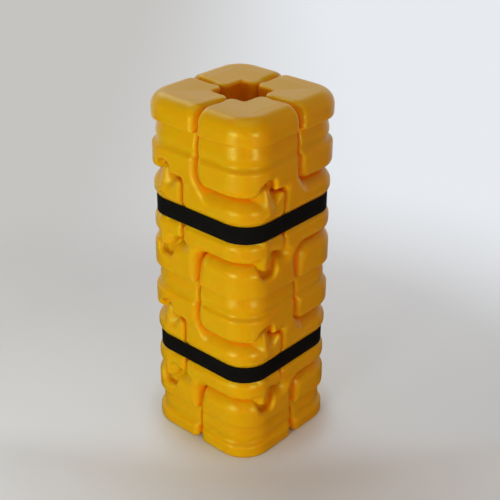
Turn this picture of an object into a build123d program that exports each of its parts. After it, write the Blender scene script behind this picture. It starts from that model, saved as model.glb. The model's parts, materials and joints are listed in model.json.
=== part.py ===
"""Modular column protector: four equal hollow corner modules held by two straps.

Frame: +Z up, origin at the centre of the base, millimetres. The front module stands at the
corner (+X, -Y). Every other module is the front one turned about the Z axis by quarter turns.

A position along a face is counted from the left corner of that face as seen from outside.
A depth is given as the distance of a surface from the Z axis.
"""

import os

from build123d import *

# Plan of the protector
WIDTH = 234.0
CORNER_RADIUS = 52.0
PASSAGE_WIDTH = 67.0
WALL = 5.0
SEAM_GAP = 6.5
SEAM_SHIFT = 6.0
SEAM_EDGE_RADIUS = 15.0

# Stack of blocks and arm windows, from the floor up
BASE_BLOCK_HEIGHT = 116.5
WINDOW_HEIGHT = 114.5
MIDDLE_BLOCK_HEIGHT = 142.0
TOP_BLOCK_HEIGHT = 122.5

# Edges of the blocks
TOP_EDGE_RADIUS = 6.0
TOP_OUTER_RADIUS = 19.0
BASE_EDGE_RADIUS = 4.0
LIP_EDGE_RADIUS = 9.0
BLOCK_TOP_RADIUS = 22.0
BLOCK_END_RADIUS = 22.0
EDGE_MARGIN = 0.5
CREASE = 0.7

# Bands of a block: a lip, an inset neck above it and a cap above that
BASE_LIP_HEIGHT = 27.0
LIP_HEIGHT = 45.5
NECK_HEIGHT = 36.0
NECK_DEPTH = 9.5
NECK_BARREL = 0.8
NECK_BARREL_LEVEL = 12.0
NECK_SHADOW_HEIGHT = 5.0
NECK_FOOT_RADIUS = 3.0
CAP_EDGE_RADIUS = 4.0
LIP_TOP_RADIUS = 6.0

# Arms that wrap round the next corner
ARM_CLEARANCE = 7.0
ARM_RECESS = 1.5
ARM_THICKNESS = 23.5
ARM_SEAT_CLEARANCE = 1.0
ARM_TOP_RADIUS = 15.0
ARM_BOTTOM_RADIUS = 9.0
ARM_TIP_RADIUS = 5.0
ARM_END_CLEARANCE = 2.0
ARM_WALL = 5.0
ARM_ROOT_DEPTH = 16.0
ARM_ROOT_REACH = 6.0
STRIP_WIDTH = 25.25

# Teeth on the arm ends and their notches
TOOTH_CENTRE = 49.0
TOOTH_WIDTH = 16.0
TOOTH_RISE = 23.0
TOOTH_DEPTH = 13.0
TOOTH_RECESS = 2.0
TOOTH_FOOT = 14.0
TOOTH_SLOPE = 20.0
TOOTH_LEAN = 20.0
TOOTH_DRAFT = 1.5
TOOTH_TIP_RADIUS = 5.0
NOTCH_CLEARANCE = 3.0
NOTCH_SEAT_CLEARANCE = 1.0

# Straps
STRAP_WIDTH = 30.0
STRAP_THICKNESS = 1.6
STRAP_RECESS = 7.0
STRAP_ABOVE_BLOCK = 51.0
STRAP_CLEARANCE = 0.2
STRAP_SIDE_CLEARANCE = 1.0
STRAP_FLARE_ANGLE = 50.0
PAD_THICKNESS = 0.9
PAD_INSET = 2.0
PAD_ROOT_MARGIN = 7.0
PAD_FREE_MARGIN = 4.0
LOOP_PAD_EXTRA = 12.0
SEWN_CLEARANCE = 0.05
CLOSED_CLEARANCE = 0.3
TAIL_OFFSET = 14.0
TAIL_LENGTH = 100.0
TAIL_RAMP = 11.0
TAIL_LANDING = 2.0
TAIL_END_RADIUS = 6.0
HINGE_CLEARANCE = 0.5

# Vent plugs in the base of each hollow module
VENT_DIAMETER = 16.0
VENT_POSITION = 55.0
PLUG_LIP = 3.0
PLUG_HEAD_HEIGHT = 2.0
PLUG_STEM_EXTRA = 3.0
PLUG_CLEARANCE = 0.1
PLUG_RECESS = 0.6

# Sizes that follow from those above
HALF_WIDTH = WIDTH / 2
CORNER_CENTRE = HALF_WIDTH - CORNER_RADIUS
OUTSIDE = HALF_WIDTH + CORNER_RADIUS
PASSAGE_HALF = PASSAGE_WIDTH / 2
PASSAGE_EDGE_RADIUS = TOP_EDGE_RADIUS + EDGE_MARGIN
LEFT_END = SEAM_SHIFT + SEAM_GAP / 2
RIGHT_END = SEAM_SHIFT - SEAM_GAP / 2
PITCH = WINDOW_HEIGHT + MIDDLE_BLOCK_HEIGHT
HEIGHT = BASE_BLOCK_HEIGHT + WINDOW_HEIGHT + PITCH + TOP_BLOCK_HEIGHT
BLOCK_TOPS = (BASE_BLOCK_HEIGHT, BASE_BLOCK_HEIGHT + PITCH)
LIP_BOTTOMS = tuple(top + WINDOW_HEIGHT for top in BLOCK_TOPS)
NECK_BOTTOMS = (BASE_LIP_HEIGHT,) + tuple(bottom + LIP_HEIGHT for bottom in LIP_BOTTOMS)
STRAP_LEVELS = tuple(top + STRAP_ABOVE_BLOCK for top in BLOCK_TOPS)
NECK_HALF_WIDTH = HALF_WIDTH - NECK_DEPTH
ARM_OUTER = HALF_WIDTH - ARM_RECESS
ARM_INNER = ARM_OUTER - ARM_THICKNESS
ARM_CURVE = BLOCK_END_RADIUS + SEAM_GAP
ARM_ROOT = HALF_WIDTH + RIGHT_END
CORE = ARM_INNER - ARM_SEAT_CLEARANCE
STRIP_START = ARM_ROOT - STRIP_WIDTH
ARM_END = STRIP_START - ARM_END_CLEARANCE
TOOTH_FACE = HALF_WIDTH - TOOTH_RECESS
TOOTH_SEAT = TOOTH_FACE - TOOTH_DEPTH
STRAP_SEAT = HALF_WIDTH - STRAP_RECESS
TURNS = {"front": 0.0, "right": 90.0, "back": 180.0, "left": 270.0}


def rounded_square(half, level, amount, taper=0.0):
    """Upright solid with a rounded square plan whose corners share the module corner axes."""
    plan = Plane.XY.offset(level) * RectangleRounded(2 * half, 2 * half, half - CORNER_CENTRE)
    return extrude(plan, amount=amount, taper=taper)


def rounded_plan(points, radii):
    """Flat face with the given outline; each corner that has a radius is rounded by it."""
    plan = make_face(Polyline(*points, close=True))
    for (x, y), radius in zip(points, radii):
        if radius > 0:
            corner = plan.vertices().sort_by_distance((x, y, 0))[0]
            plan = fillet([corner], radius)
    return plan


def swept_round_corner(outline, right_run):
    """Solid whose (depth, height) outline runs along the left face, the corner and the right face."""
    plane = Plane(origin=(0, -CORNER_CENTRE, 0), x_dir=(1, 0, 0), z_dir=(0, -1, 0))
    face = plane * make_face(outline)
    axis = Axis((CORNER_CENTRE, -CORNER_CENTRE, 0), (0, 0, 1))
    right = extrude(face, amount=right_run, dir=(0, 1, 0))
    corner = revolve(face, axis=axis, revolution_arc=-90)
    left = extrude(face.rotate(axis, -90), amount=WIDTH, dir=(-1, 0, 0))
    return right + corner + left


def right_face_solid(points, radii, near, far):
    """Solid drawn in elevation on the right face; points are (position on the face, height)."""
    outline = [(along - HALF_WIDTH, level) for along, level in points]
    plane = Plane(origin=(near, 0, 0), x_dir=(0, 1, 0), z_dir=(1, 0, 0))
    return extrude(plane * rounded_plan(outline, radii), amount=far - near)


def module_prism():
    """Upright block with the plan of one module, its edges rounded."""
    points = [
        (LEFT_END, -HALF_WIDTH),
        (HALF_WIDTH, -HALF_WIDTH),
        (HALF_WIDTH, RIGHT_END),
        (PASSAGE_HALF, RIGHT_END),
        (PASSAGE_HALF, -PASSAGE_HALF),
        (LEFT_END, -PASSAGE_HALF),
    ]
    radii = [SEAM_EDGE_RADIUS, CORNER_RADIUS, SEAM_EDGE_RADIUS] + 3 * [PASSAGE_EDGE_RADIUS]
    prism = extrude(rounded_plan(points, radii), amount=HEIGHT)
    prism = fillet(prism.faces().sort_by(Axis.Z)[-1].edges(), TOP_EDGE_RADIUS)
    return fillet(prism.faces().sort_by(Axis.Z)[0].edges(), BASE_EDGE_RADIUS)


def top_rounding_cutter():
    """What is taken off the outer top edge to give it its large rounding."""
    centre = (HALF_WIDTH + CREASE - TOP_OUTER_RADIUS, HEIGHT - TOP_OUTER_RADIUS)
    arc = CenterArc(centre, TOP_OUTER_RADIUS, 0, 90)
    above = HEIGHT + TOP_OUTER_RADIUS
    rest = Polyline(arc @ 1, (centre[0], above), (OUTSIDE, above), (OUTSIDE, centre[1]), arc @ 0)
    return swept_round_corner([arc, rest], WIDTH)


def neck_cutter(bottom):
    """Groove between a lip and the cap above it, with a soft step at both ends."""
    inner = NECK_HALF_WIDTH
    top = bottom + NECK_HEIGHT
    edge = HALF_WIDTH + CREASE
    cap_arc = CenterArc((edge - CAP_EDGE_RADIUS, top + CAP_EDGE_RADIUS), CAP_EDGE_RADIUS, -90, 90)
    foot_arc = CenterArc((inner + NECK_FOOT_RADIUS, bottom + NECK_FOOT_RADIUS), NECK_FOOT_RADIUS, 180, 90)
    lip_arc = CenterArc((edge - LIP_TOP_RADIUS, bottom - LIP_TOP_RADIUS), LIP_TOP_RADIUS, 0, 90)
    mouth = [(OUTSIDE, top + CAP_EDGE_RADIUS), (OUTSIDE, bottom - LIP_TOP_RADIUS)]
    barrel = [
        (inner + NECK_BARREL, top - NECK_BARREL_LEVEL),
        (inner - NECK_BARREL, top - NECK_SHADOW_HEIGHT),
        (inner - NECK_BARREL, top),
    ]
    outline = [
        cap_arc,
        Polyline(cap_arc @ 1, *mouth, lip_arc @ 0),
        lip_arc,
        Line(lip_arc @ 1, foot_arc @ 1),
        foot_arc,
        Polyline(foot_arc @ 0, *barrel, cap_arc @ 0),
    ]
    return swept_round_corner(outline, WIDTH)


def window_cutter(block_top, lip_bottom):
    """Room at the corner between two blocks for the arm of the module before this one."""
    lip_centre = (HALF_WIDTH + CREASE - LIP_EDGE_RADIUS, lip_bottom + LIP_EDGE_RADIUS)
    top_centre = (HALF_WIDTH + CREASE - BLOCK_TOP_RADIUS, block_top - BLOCK_TOP_RADIUS)
    lip_arc = CenterArc(lip_centre, LIP_EDGE_RADIUS, -90, 90)
    top_arc = CenterArc(top_centre, BLOCK_TOP_RADIUS, 0, 90)
    outline = [
        lip_arc,
        Polyline(lip_arc @ 1, (OUTSIDE, lip_centre[1]), (OUTSIDE, top_centre[1]), top_arc @ 0),
        top_arc,
        Polyline(top_arc @ 1, (CORE, block_top), (CORE, lip_bottom), lip_arc @ 0),
    ]
    return swept_round_corner(outline, STRIP_START - CORNER_RADIUS)


def block_end_cutter(level, upward):
    """Rounds off the corner of a block where its left end meets the arm beside it."""
    radius = BLOCK_END_RADIUS
    side = 1.0 if upward else -1.0
    size = radius + CREASE
    middle = radius - size / 2
    square = Pos(LEFT_END + middle, level + side * middle) * Rectangle(size, size)
    corner = square - Pos(LEFT_END + radius, level + side * radius) * Circle(radius)
    plane = Plane(origin=(0, -CORE, 0), x_dir=(1, 0, 0), z_dir=(0, -1, 0))
    return extrude(plane * corner, amount=OUTSIDE - CORE)


def tooth_outline(level, side, clearance):
    """Tooth on an arm edge in elevation; the side is 1 for upwards and -1 for downwards."""
    half = TOOTH_WIDTH / 2 + clearance
    tip = level + side * (TOOTH_RISE + clearance)
    foot = level - side * TOOTH_FOOT
    return [
        (TOOTH_CENTRE - half - TOOTH_LEAN, foot),
        (TOOTH_CENTRE - half, tip),
        (TOOTH_CENTRE + half, tip),
        (TOOTH_CENTRE + half + TOOTH_DRAFT, foot),
    ]


def tooth(level, side):
    """Wedge-shaped tooth of the arm that wraps the front corner, standing on the right face."""
    tip_radii = (0.0, TOOTH_TIP_RADIUS, TOOTH_TIP_RADIUS, 0.0)
    blade = right_face_solid(tooth_outline(level, side, 0.0), tip_radii, TOOTH_SEAT, TOOTH_FACE)
    ridge = TOOTH_CENTRE - HALF_WIDTH
    far = ridge + TOOTH_WIDTH
    points = [(TOOTH_SEAT, ridge - TOOTH_SLOPE), (TOOTH_FACE, ridge), (TOOTH_FACE, far), (TOOTH_SEAT, far)]
    reach = TOOTH_FOOT + TOOTH_RISE
    wedge = extrude(Plane.XY.offset(level - reach) * rounded_plan(points, ()), amount=2 * reach)
    return blade & wedge


def notch_cutter(level, side):
    """Room for one tooth in the block above or below the arm."""
    radius = TOOTH_TIP_RADIUS + NOTCH_CLEARANCE
    points = tooth_outline(level, side, NOTCH_CLEARANCE)
    return right_face_solid(points, (0.0, radius, radius, 0.0), TOOTH_SEAT - NOTCH_SEAT_CLEARANCE, OUTSIDE)


def arm_run(bottom, top):
    """Run of one arm from its strip round the next corner to its end, before the strap groove."""
    root = RIGHT_END
    inside = root - ARM_ROOT_DEPTH
    upper = (root + ARM_CURVE, top + ARM_CURVE)
    lower = (root + ARM_CURVE, bottom - ARM_CURVE)
    high = upper[1] + ARM_ROOT_REACH
    low = lower[1] - ARM_ROOT_REACH
    outline = [
        Polyline((root, lower[1]), (root, low), (inside, low), (inside, high), (root, high), (root, upper[1])),
        CenterArc(upper, ARM_CURVE, 180, 90),
        Polyline((upper[0], top), (CORNER_CENTRE, top), (CORNER_CENTRE, bottom), (lower[0], bottom)),
        CenterArc(lower, ARM_CURVE, 90, 90),
    ]
    plane = Plane(origin=(ARM_INNER, 0, 0), x_dir=(0, 1, 0), z_dir=(1, 0, 0))
    straight = extrude(plane * make_face(outline), amount=ARM_THICKNESS)
    middle = (bottom + top) / 2
    for upward, radius in ((True, ARM_TOP_RADIUS), (False, ARM_BOTTOM_RADIUS)):
        outer = straight.edges().filter_by_position(Axis.X, ARM_OUTER - EDGE_MARGIN, ARM_OUTER + EDGE_MARGIN)
        free = [edge for edge in outer if root - EDGE_MARGIN < edge.center().Y < CORNER_CENTRE - EDGE_MARGIN]
        straight = fillet([edge for edge in free if (edge.center().Z > middle) == upward], radius)
    section = straight.faces().sort_by(Axis.Y)[-1]
    axis = Axis((CORNER_CENTRE, CORNER_CENTRE, 0), (0, 0, 1))
    bend = revolve(section, axis=axis, revolution_arc=90)
    last = extrude(section.rotate(axis, 90), amount=ARM_END - CORNER_RADIUS, dir=(-1, 0, 0))
    tip_edges = last.faces().sort_by(Axis.X)[0].edges().filter_by(Axis.Z).sort_by(Axis.Y)
    return straight + bend + fillet([tip_edges[-1]], ARM_TIP_RADIUS)


def strap_groove_cutter(middle):
    """Ring-shaped room for one strap round all four modules."""
    half = STRAP_WIDTH / 2 + STRAP_SIDE_CLEARANCE
    flare = STRAP_RECESS
    keep = rounded_square(STRAP_SEAT, middle - half, 2 * half)
    keep += rounded_square(STRAP_SEAT, middle + half, flare, taper=-STRAP_FLARE_ANGLE)
    keep += rounded_square(STRAP_SEAT, middle - half, -flare, taper=-STRAP_FLARE_ANGLE)
    room = Pos(0, 0, middle) * Box(2 * OUTSIDE, 2 * OUTSIDE, 2 * (half + flare - EDGE_MARGIN))
    return room - keep


def module_cavity():
    """Hollow inside of one module: an upright core and three wider rooms inside the blocks."""
    left = LEFT_END + WALL
    right = RIGHT_END - WALL
    inner = PASSAGE_HALF + WALL
    edge = SEAM_EDGE_RADIUS - WALL

    def room(outer, low, high):
        points = [(left, -outer), (outer, -outer), (outer, right), (inner, right), (inner, -inner), (left, -inner)]
        plan = rounded_plan(points, (edge, outer - CORNER_CENTRE, edge))
        return extrude(Plane.XY.offset(low) * plan, amount=high - low)

    wide = NECK_HALF_WIDTH - NECK_BARREL - WALL
    notch_reach = TOOTH_RISE + NOTCH_CLEARANCE + WALL - ARM_CLEARANCE
    cavity = room(CORE - WALL, WALL, HEIGHT - WALL)
    floors = [2 * WALL] + [bottom + notch_reach for bottom in LIP_BOTTOMS]
    ceilings = [top - notch_reach for top in BLOCK_TOPS] + [HEIGHT - 2 * WALL]
    for floor, ceiling in zip(floors, ceilings):
        cavity += room(wide, floor, ceiling)
    return cavity


def arm_cavity(bottom, top):
    """Hollow inside of one arm, joined to the inside of its module through the strip."""
    low = bottom + ARM_WALL + EDGE_MARGIN
    high = top - ARM_WALL - EDGE_MARGIN
    inner = ARM_INNER + ARM_WALL
    outer = STRAP_SEAT - ARM_WALL
    start = RIGHT_END - STRIP_WIDTH / 2

    def run(x_low, x_high, y_low, y_high):
        middle = ((x_low + x_high) / 2, (y_low + y_high) / 2, (low + high) / 2)
        return Pos(*middle) * Box(x_high - x_low, y_high - y_low, high - low)

    room = run(inner, outer, start, CORNER_CENTRE)
    section = room.faces().sort_by(Axis.Y)[-1]
    room += revolve(section, axis=Axis((CORNER_CENTRE, CORNER_CENTRE, 0), (0, 0, 1)), revolution_arc=90)
    room += run(HALF_WIDTH - ARM_END + ARM_WALL, CORNER_CENTRE, inner, outer)
    room += run(CORE - 2 * ARM_WALL, outer, start, start + ARM_WALL)
    return room


def corner_module():
    """The front module with its blocks, arms, teeth and hollow inside."""
    body = module_prism() - top_rounding_cutter()
    for bottom in NECK_BOTTOMS:
        body -= neck_cutter(bottom)
    for block_top, lip_bottom in zip(BLOCK_TOPS, LIP_BOTTOMS):
        body -= window_cutter(block_top, lip_bottom)
        body -= block_end_cutter(lip_bottom, True)
        body -= block_end_cutter(block_top, False)
        body -= notch_cutter(lip_bottom - ARM_CLEARANCE, 1.0)
        body -= notch_cutter(block_top + ARM_CLEARANCE, -1.0)
    body -= module_cavity()
    for block_top, lip_bottom in zip(BLOCK_TOPS, LIP_BOTTOMS):
        bottom = block_top + ARM_CLEARANCE
        top = lip_bottom - ARM_CLEARANCE
        teeth = tooth(top, 1.0) + tooth(bottom, -1.0)
        body += arm_run(bottom, top) + teeth.rotate(Axis.Z, 90)
        body -= arm_cavity(bottom, top)
    for level in STRAP_LEVELS:
        body -= strap_groove_cutter(level)
    vent = Pos(VENT_POSITION, -VENT_POSITION, 0)
    head_room = PLUG_HEAD_HEIGHT + PLUG_RECESS
    body -= vent * Cylinder(VENT_DIAMETER / 2, 2 * (WALL + PLUG_STEM_EXTRA))
    body -= vent * Cylinder(VENT_DIAMETER / 2 + PLUG_LIP + PLUG_CLEARANCE, 2 * head_room)
    return body


def vent_plug():
    """Round push-in plug that closes the vent of the front module."""
    standing = (Align.CENTER, Align.CENTER, Align.MIN)
    head = Cylinder(VENT_DIAMETER / 2 + PLUG_LIP, PLUG_HEAD_HEIGHT, align=standing)
    stem = Cylinder(VENT_DIAMETER / 2 - PLUG_CLEARANCE, WALL + PLUG_STEM_EXTRA, align=standing)
    return Pos(VENT_POSITION, -VENT_POSITION, PLUG_RECESS) * (head + stem)


def back_face_strip(x_start, x_end, inner, outer, width, level):
    """Flat strip on the back face between two places and two depths."""
    strip = Box(x_start - x_end, outer - inner, width)
    return Pos((x_start + x_end) / 2, (inner + outer) / 2, level) * strip


def strap_parts(level):
    """Band, tail, hook pad and loop pad of one strap; the tail lies closed on the back face."""
    inner = STRAP_SEAT + STRAP_CLEARANCE
    outer = inner + STRAP_THICKNESS
    loop_inner = outer + SEWN_CLEARANCE
    loop_outer = loop_inner + PAD_THICKNESS
    hook_inner = loop_outer + CLOSED_CLEARANCE
    hook_outer = hook_inner + PAD_THICKNESS
    tail_inner = hook_outer + SEWN_CLEARANCE
    tail_outer = tail_inner + STRAP_THICKNESS
    low = level - STRAP_WIDTH / 2
    root_radius = STRAP_THICKNESS / 2
    axis_x = CORNER_CENTRE - TAIL_OFFSET
    tail_end = axis_x - TAIL_LENGTH
    ramp_end = axis_x + root_radius + HINGE_CLEARANCE
    landing = ramp_end + TAIL_LANDING
    ramp_start = ramp_end + TAIL_RAMP

    band = rounded_square(outer, low, STRAP_WIDTH) - rounded_square(inner, low, STRAP_WIDTH)
    gap_end = axis_x - TAIL_LANDING
    gap = Box(ramp_start - gap_end, 2 * STRAP_RECESS, STRAP_WIDTH + 2 * EDGE_MARGIN)
    band -= Pos((ramp_start + gap_end) / 2, inner, level) * gap
    axis_y = (tail_inner + tail_outer) / 2
    nose_x = ramp_end + root_radius
    nose = ThreePointArc((nose_x, tail_outer), (ramp_end, axis_y), (nose_x, tail_inner))
    ramp = Polyline(
        (nose_x, tail_inner),
        (landing, tail_inner),
        (ramp_start, inner),
        (ramp_start, outer),
        (landing, tail_outer),
        (nose_x, tail_outer),
    )
    band += extrude(Plane.XY.offset(low) * make_face([nose, ramp]), amount=STRAP_WIDTH)

    tail = back_face_strip(axis_x, tail_end, tail_inner, tail_outer, STRAP_WIDTH, level)
    free_edges = tail.faces().sort_by(Axis.X)[0].edges().filter_by(Axis.Y)
    tail = fillet(free_edges, TAIL_END_RADIUS)
    tail += Pos(axis_x, axis_y, level) * Cylinder(root_radius, STRAP_WIDTH)

    pad_width = STRAP_WIDTH - 2 * PAD_INSET
    pad_start = axis_x - PAD_ROOT_MARGIN
    pad_end = tail_end + PAD_FREE_MARGIN
    hook_pad = back_face_strip(pad_start, pad_end, hook_inner, hook_outer, pad_width, level)
    loop_pad = back_face_strip(pad_start, pad_end - LOOP_PAD_EXTRA, loop_inner, loop_outer, pad_width, level)
    return {"band": band, "tail": tail, "hook_pad": hook_pad, "loop_pad": loop_pad}


def main():
    """Build every piece and write one file for each."""
    os.makedirs("parts", exist_ok=True)
    module = corner_module()
    plug = vent_plug()
    for place, turn in TURNS.items():
        export_step(module.rotate(Axis.Z, turn), f"parts/corner_module_{place}.step")
        export_step(plug.rotate(Axis.Z, turn), f"parts/vent_plug_{place}.step")
    for name, level in zip(("lower", "upper"), STRAP_LEVELS):
        for piece, shape in strap_parts(level).items():
            export_step(shape, f"parts/strap_{name}_{piece}.step")


if __name__ == "__main__":
    main()
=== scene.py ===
"""Looks of a modular column protector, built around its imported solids.

Sizes are in millimetres, in the frame of the solids, and meshes are written in metres.
A position along a face is counted from the left corner of that face as seen from outside.
A depth is the distance of a surface from the upright axis of the protector.
"""

import json
import logging
import math
from collections.abc import Sequence
from dataclasses import dataclass, field
from enum import Enum
from functools import cached_property
from itertools import product
from typing import Any

import bmesh
import bpy
import numpy as np
from mathutils import Matrix, Vector


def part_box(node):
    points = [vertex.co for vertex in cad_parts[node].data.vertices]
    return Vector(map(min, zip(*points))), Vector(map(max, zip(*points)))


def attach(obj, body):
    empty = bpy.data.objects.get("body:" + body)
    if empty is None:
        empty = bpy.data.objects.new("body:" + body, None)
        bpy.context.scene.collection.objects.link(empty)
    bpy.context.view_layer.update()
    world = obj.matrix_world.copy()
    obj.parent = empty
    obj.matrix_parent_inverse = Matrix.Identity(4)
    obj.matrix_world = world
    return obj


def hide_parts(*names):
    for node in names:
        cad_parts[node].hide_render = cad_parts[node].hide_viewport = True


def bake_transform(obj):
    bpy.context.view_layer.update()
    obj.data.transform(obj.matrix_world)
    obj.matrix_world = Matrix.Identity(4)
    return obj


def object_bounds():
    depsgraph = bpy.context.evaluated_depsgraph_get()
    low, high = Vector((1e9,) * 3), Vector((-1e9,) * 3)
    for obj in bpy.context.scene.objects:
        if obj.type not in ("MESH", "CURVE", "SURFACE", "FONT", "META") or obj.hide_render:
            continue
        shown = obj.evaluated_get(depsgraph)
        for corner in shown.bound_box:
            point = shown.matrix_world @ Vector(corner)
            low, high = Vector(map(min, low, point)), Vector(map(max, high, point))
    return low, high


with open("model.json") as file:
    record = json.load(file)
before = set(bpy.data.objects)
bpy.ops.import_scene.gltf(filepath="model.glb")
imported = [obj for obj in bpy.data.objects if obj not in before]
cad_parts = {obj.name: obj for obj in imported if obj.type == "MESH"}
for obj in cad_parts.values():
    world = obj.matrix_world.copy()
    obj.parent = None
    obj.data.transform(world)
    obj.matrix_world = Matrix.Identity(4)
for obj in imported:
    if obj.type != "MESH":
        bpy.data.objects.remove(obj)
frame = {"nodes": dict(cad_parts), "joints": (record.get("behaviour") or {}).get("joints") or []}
CAD_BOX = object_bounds()

MM = 0.001
NEARLY_NOTHING = 1e-6
ROOT_BODY = "protector"
LOG = logging.getLogger("column_protector")

Array = np.ndarray
Colour = tuple[float, float, float, float]
Pair = tuple[float, float]
Triple = tuple[float, float, float]
Section = tuple[Pair, ...]
Spots = list[tuple[float, float, float, float]]
Faces = list[Sequence[int]]
Socket = bpy.types.NodeSocket
Material = bpy.types.Material
Mesh = bpy.types.Mesh


class Place(Enum):
    """Corner of the protector that a module stands at, with its turn in degrees."""

    FRONT = 0
    RIGHT = 90
    BACK = 180
    LEFT = 270

    @property
    def label(self) -> str:
        """The place as it stands in the names of the solids."""
        return self.name.lower()


class Level(Enum):
    """The two straps by their height."""

    UPPER = "upper"
    LOWER = "lower"


class ArmEdge(Enum):
    """Edge of an arm, with the direction in which its teeth stand."""

    UPPER = 1.0
    LOWER = -1.0


def smoothstep(value: Array, start: float, end: float) -> Array:
    """Soft step from 0 at start to 1 at end.

    Args:
        value: Where to read the step.
        start: Value at which the step leaves 0.
        end: Value at which the step reaches 1.

    Returns:
        The height of the step.
    """
    share = np.clip((value - start) / (end - start), 0.0, 1.0)
    return share * share * (3.0 - 2.0 * share)


def near(value: Array, level: float, reach: float) -> Array:
    """Soft bump of 1 at a level that fades to 0 at a distance of reach from it."""
    return smoothstep(np.abs(value - level), reach, 0.0)


def common(first: Array, second: Array, radius: Array | float) -> Array:
    """Distance to what two solids share, with its outer edge rounded.

    Args:
        first: Signed distance to one solid, negative inside.
        second: Signed distance to the other solid.
        radius: Radius of the edge where their surfaces meet.

    Returns:
        Signed distance to the shared solid.
    """
    corner = np.hypot(np.maximum(first + radius, 0.0), np.maximum(second + radius, 0.0))
    return np.minimum(-radius, np.maximum(first, second)) + corner


def joined(first: Array, second: Array, radius: Array | float) -> Array:
    """Distance to two solids together, with a fillet where they meet."""
    return -common(-first, -second, radius)


@dataclass(frozen=True)
class Wedge:
    """Tooth on an arm edge: a narrow ridge between two facets, under an outline seen flat on the face.

    The slopes are the angles of the facets to the face, in degrees.
    """

    points: Section
    ridge: Pair
    recess: float
    lean: float
    edge_radius: float
    left_slope: float = 38.0
    right_slope: float = 27.0


@dataclass(frozen=True)
class ModuleForm:
    """Moulded outside of the front corner module as a signed distance, negative inside.

    A radius rounds an edge, and a fade is the stretch over which one shape or radius goes over into another.
    """

    half_width: float
    height: float

    # upright corners, post passage and seams
    corner_radius: float = 52.0
    passage_half: float = 33.5
    passage_radius: float = 2.5
    passage_corner: float = 14.0
    seam_gap: float = 1.8
    seam_shift: float = 5.6
    seam_radius: float = 14.5
    lip_seam_radius: float = 12.0
    neck_seam_radius: float = 7.0
    strip_width: float = 32.0
    strip_radius: float = 11.0
    strip_blend: float = 4.0

    # blocks, windows and rims
    base_block: float = 116.5
    window: float = 114.5
    window_fade: float = 12.0
    middle_block: float = 142.0
    top_radius: float = 24.0
    top_dish: float = 2.2
    dish_inset: float = 25.0
    rim_radius: float = 11.0
    rim_fade: Pair = (22.0, 4.0)
    inner_fade: Pair = (12.0, 28.0)
    passage_rim_radius: float = 5.0
    passage_rim_fade: Pair = (8.0, 30.0)
    base_radius: float = 5.0
    base_fade: float = 18.0
    lip_radius: float = 16.0
    lip_fade: float = 24.0
    block_top_radius: float = 27.0
    block_top_drop: float = 5.0
    block_top_fade: float = 45.0
    block_end_radius: float = 22.0

    # lips and necks
    base_lip: float = 24.0
    lip: float = 42.0
    neck: float = 39.5
    neck_depth: float = 7.4
    neck_barrel: float = 2.7
    neck_barrel_drop: float = 22.0
    neck_foot_radius: float = 9.0
    neck_foot_fade: Pair = (-4.0, 6.0)
    neck_top_radius: float = 2.0
    neck_top_fade: Pair = (10.0, -3.0)
    cap_edge_radius: float = 4.5
    lip_edge_radius: float = 5.0

    # arms and the core that they wrap
    arm_clearance: float = 7.0
    arm_top_clearance: float = 4.8
    arm_drop: float = 6.5
    arm_step: float = 8.0
    arm_step_reach: Pair = (48.5, 60.5)
    lip_drop: float = 3.0
    arm_recess: float = 1.5
    arm_thickness: float = 23.5
    arm_seat: float = 1.0
    arm_seat_radius: float = 1.5
    arm_root_fade: Pair = (4.0, 1.0)
    core_overlap: float = 10.0
    arm_top_radius: float = 30.0
    arm_top_drop: float = 8.0
    arm_top_fade: float = 40.0
    arm_bottom_radius: float = 14.0
    arm_bottom_drop: float = 15.0
    arm_bottom_fade: float = 45.0
    gusset_radius: float = 20.0
    gusset_fade: float = 25.0
    arm_end: float = 89.2
    arm_tip_radius: float = 7.0
    arm_tip_fade: Pair = (24.0, 6.0)
    arm_shoulder_radius: float = 8.0
    arm_shoulder_fade: float = 20.0

    # strap grooves
    strap_above_block: float = 51.0
    strap_half: float = 16.0
    strap_recess: float = 7.0
    strap_flare: float = 0.75
    strap_edge_radius: float = 5.0

    # teeth on the arms and notches for them
    upper_wedge: Wedge = Wedge(
        points=((30.0, 0.0), (40.0, 19.0), (63.0, 19.0), (70.0, 0.0)), ridge=(48.5, 52.5),
        recess=4.3, lean=0.2, edge_radius=11.0)
    lower_wedge: Wedge = Wedge(
        points=((32.0, 0.0), (37.0, 21.5), (63.5, 21.5), (71.0, 0.0)), ridge=(43.0, 48.5),
        recess=2.0, lean=0.0, edge_radius=4.0)
    tooth_radius: float = 2.5
    tooth_tip_radius: float = 7.0
    tooth_root: float = 20.0
    tooth_blend: float = 4.0
    upper_notch_points: Section = ((29.0, 2.8), (39.0, 26.5), (64.0, 26.5), (63.0, 2.8))
    lower_notch_points: Section = ((30.0, 3.0), (39.0, 38.5), (66.0, 38.5), (71.0, 11.0))
    notch_shelf: Pair = (72.0, 3.2)
    notch_shelf_radius: float = 2.0
    notch_depth: float = 16.0
    notch_start: Pair = (20.0, 46.0)
    notch_undercut: float = 0.35
    notch_radius: float = 9.0
    notch_edge_radius: float = 7.5
    notch_floor_radius: float = 3.0

    # seat of the vent plug
    plug_place: float = 55.0
    plug_seat_radius: float = 11.4
    plug_seat_depth: float = 2.6
    plug_seat_edge: float = 0.8

    @property
    def corner_centre(self) -> float:
        """Distance of the corner's own axis from both middle planes."""
        return self.half_width - self.corner_radius

    @property
    def pitch(self) -> float:
        """Height after which a block and a window repeat."""
        return self.window + self.middle_block

    @property
    def block_tops(self) -> Pair:
        """Heights of the block tops under the two windows."""
        return self.base_block, self.base_block + self.pitch

    @property
    def neck_bottoms(self) -> tuple[float, ...]:
        """Heights at which the three necks start."""
        return (self.base_lip,) + tuple(top + self.window + self.lip for top in self.block_tops)

    @property
    def left_end(self) -> float:
        """Place of the end that meets the module on the left."""
        return self.seam_shift + self.seam_gap / 2

    @property
    def right_end(self) -> float:
        """Place of the end that meets the module on the right."""
        return self.seam_shift - self.seam_gap / 2

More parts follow.
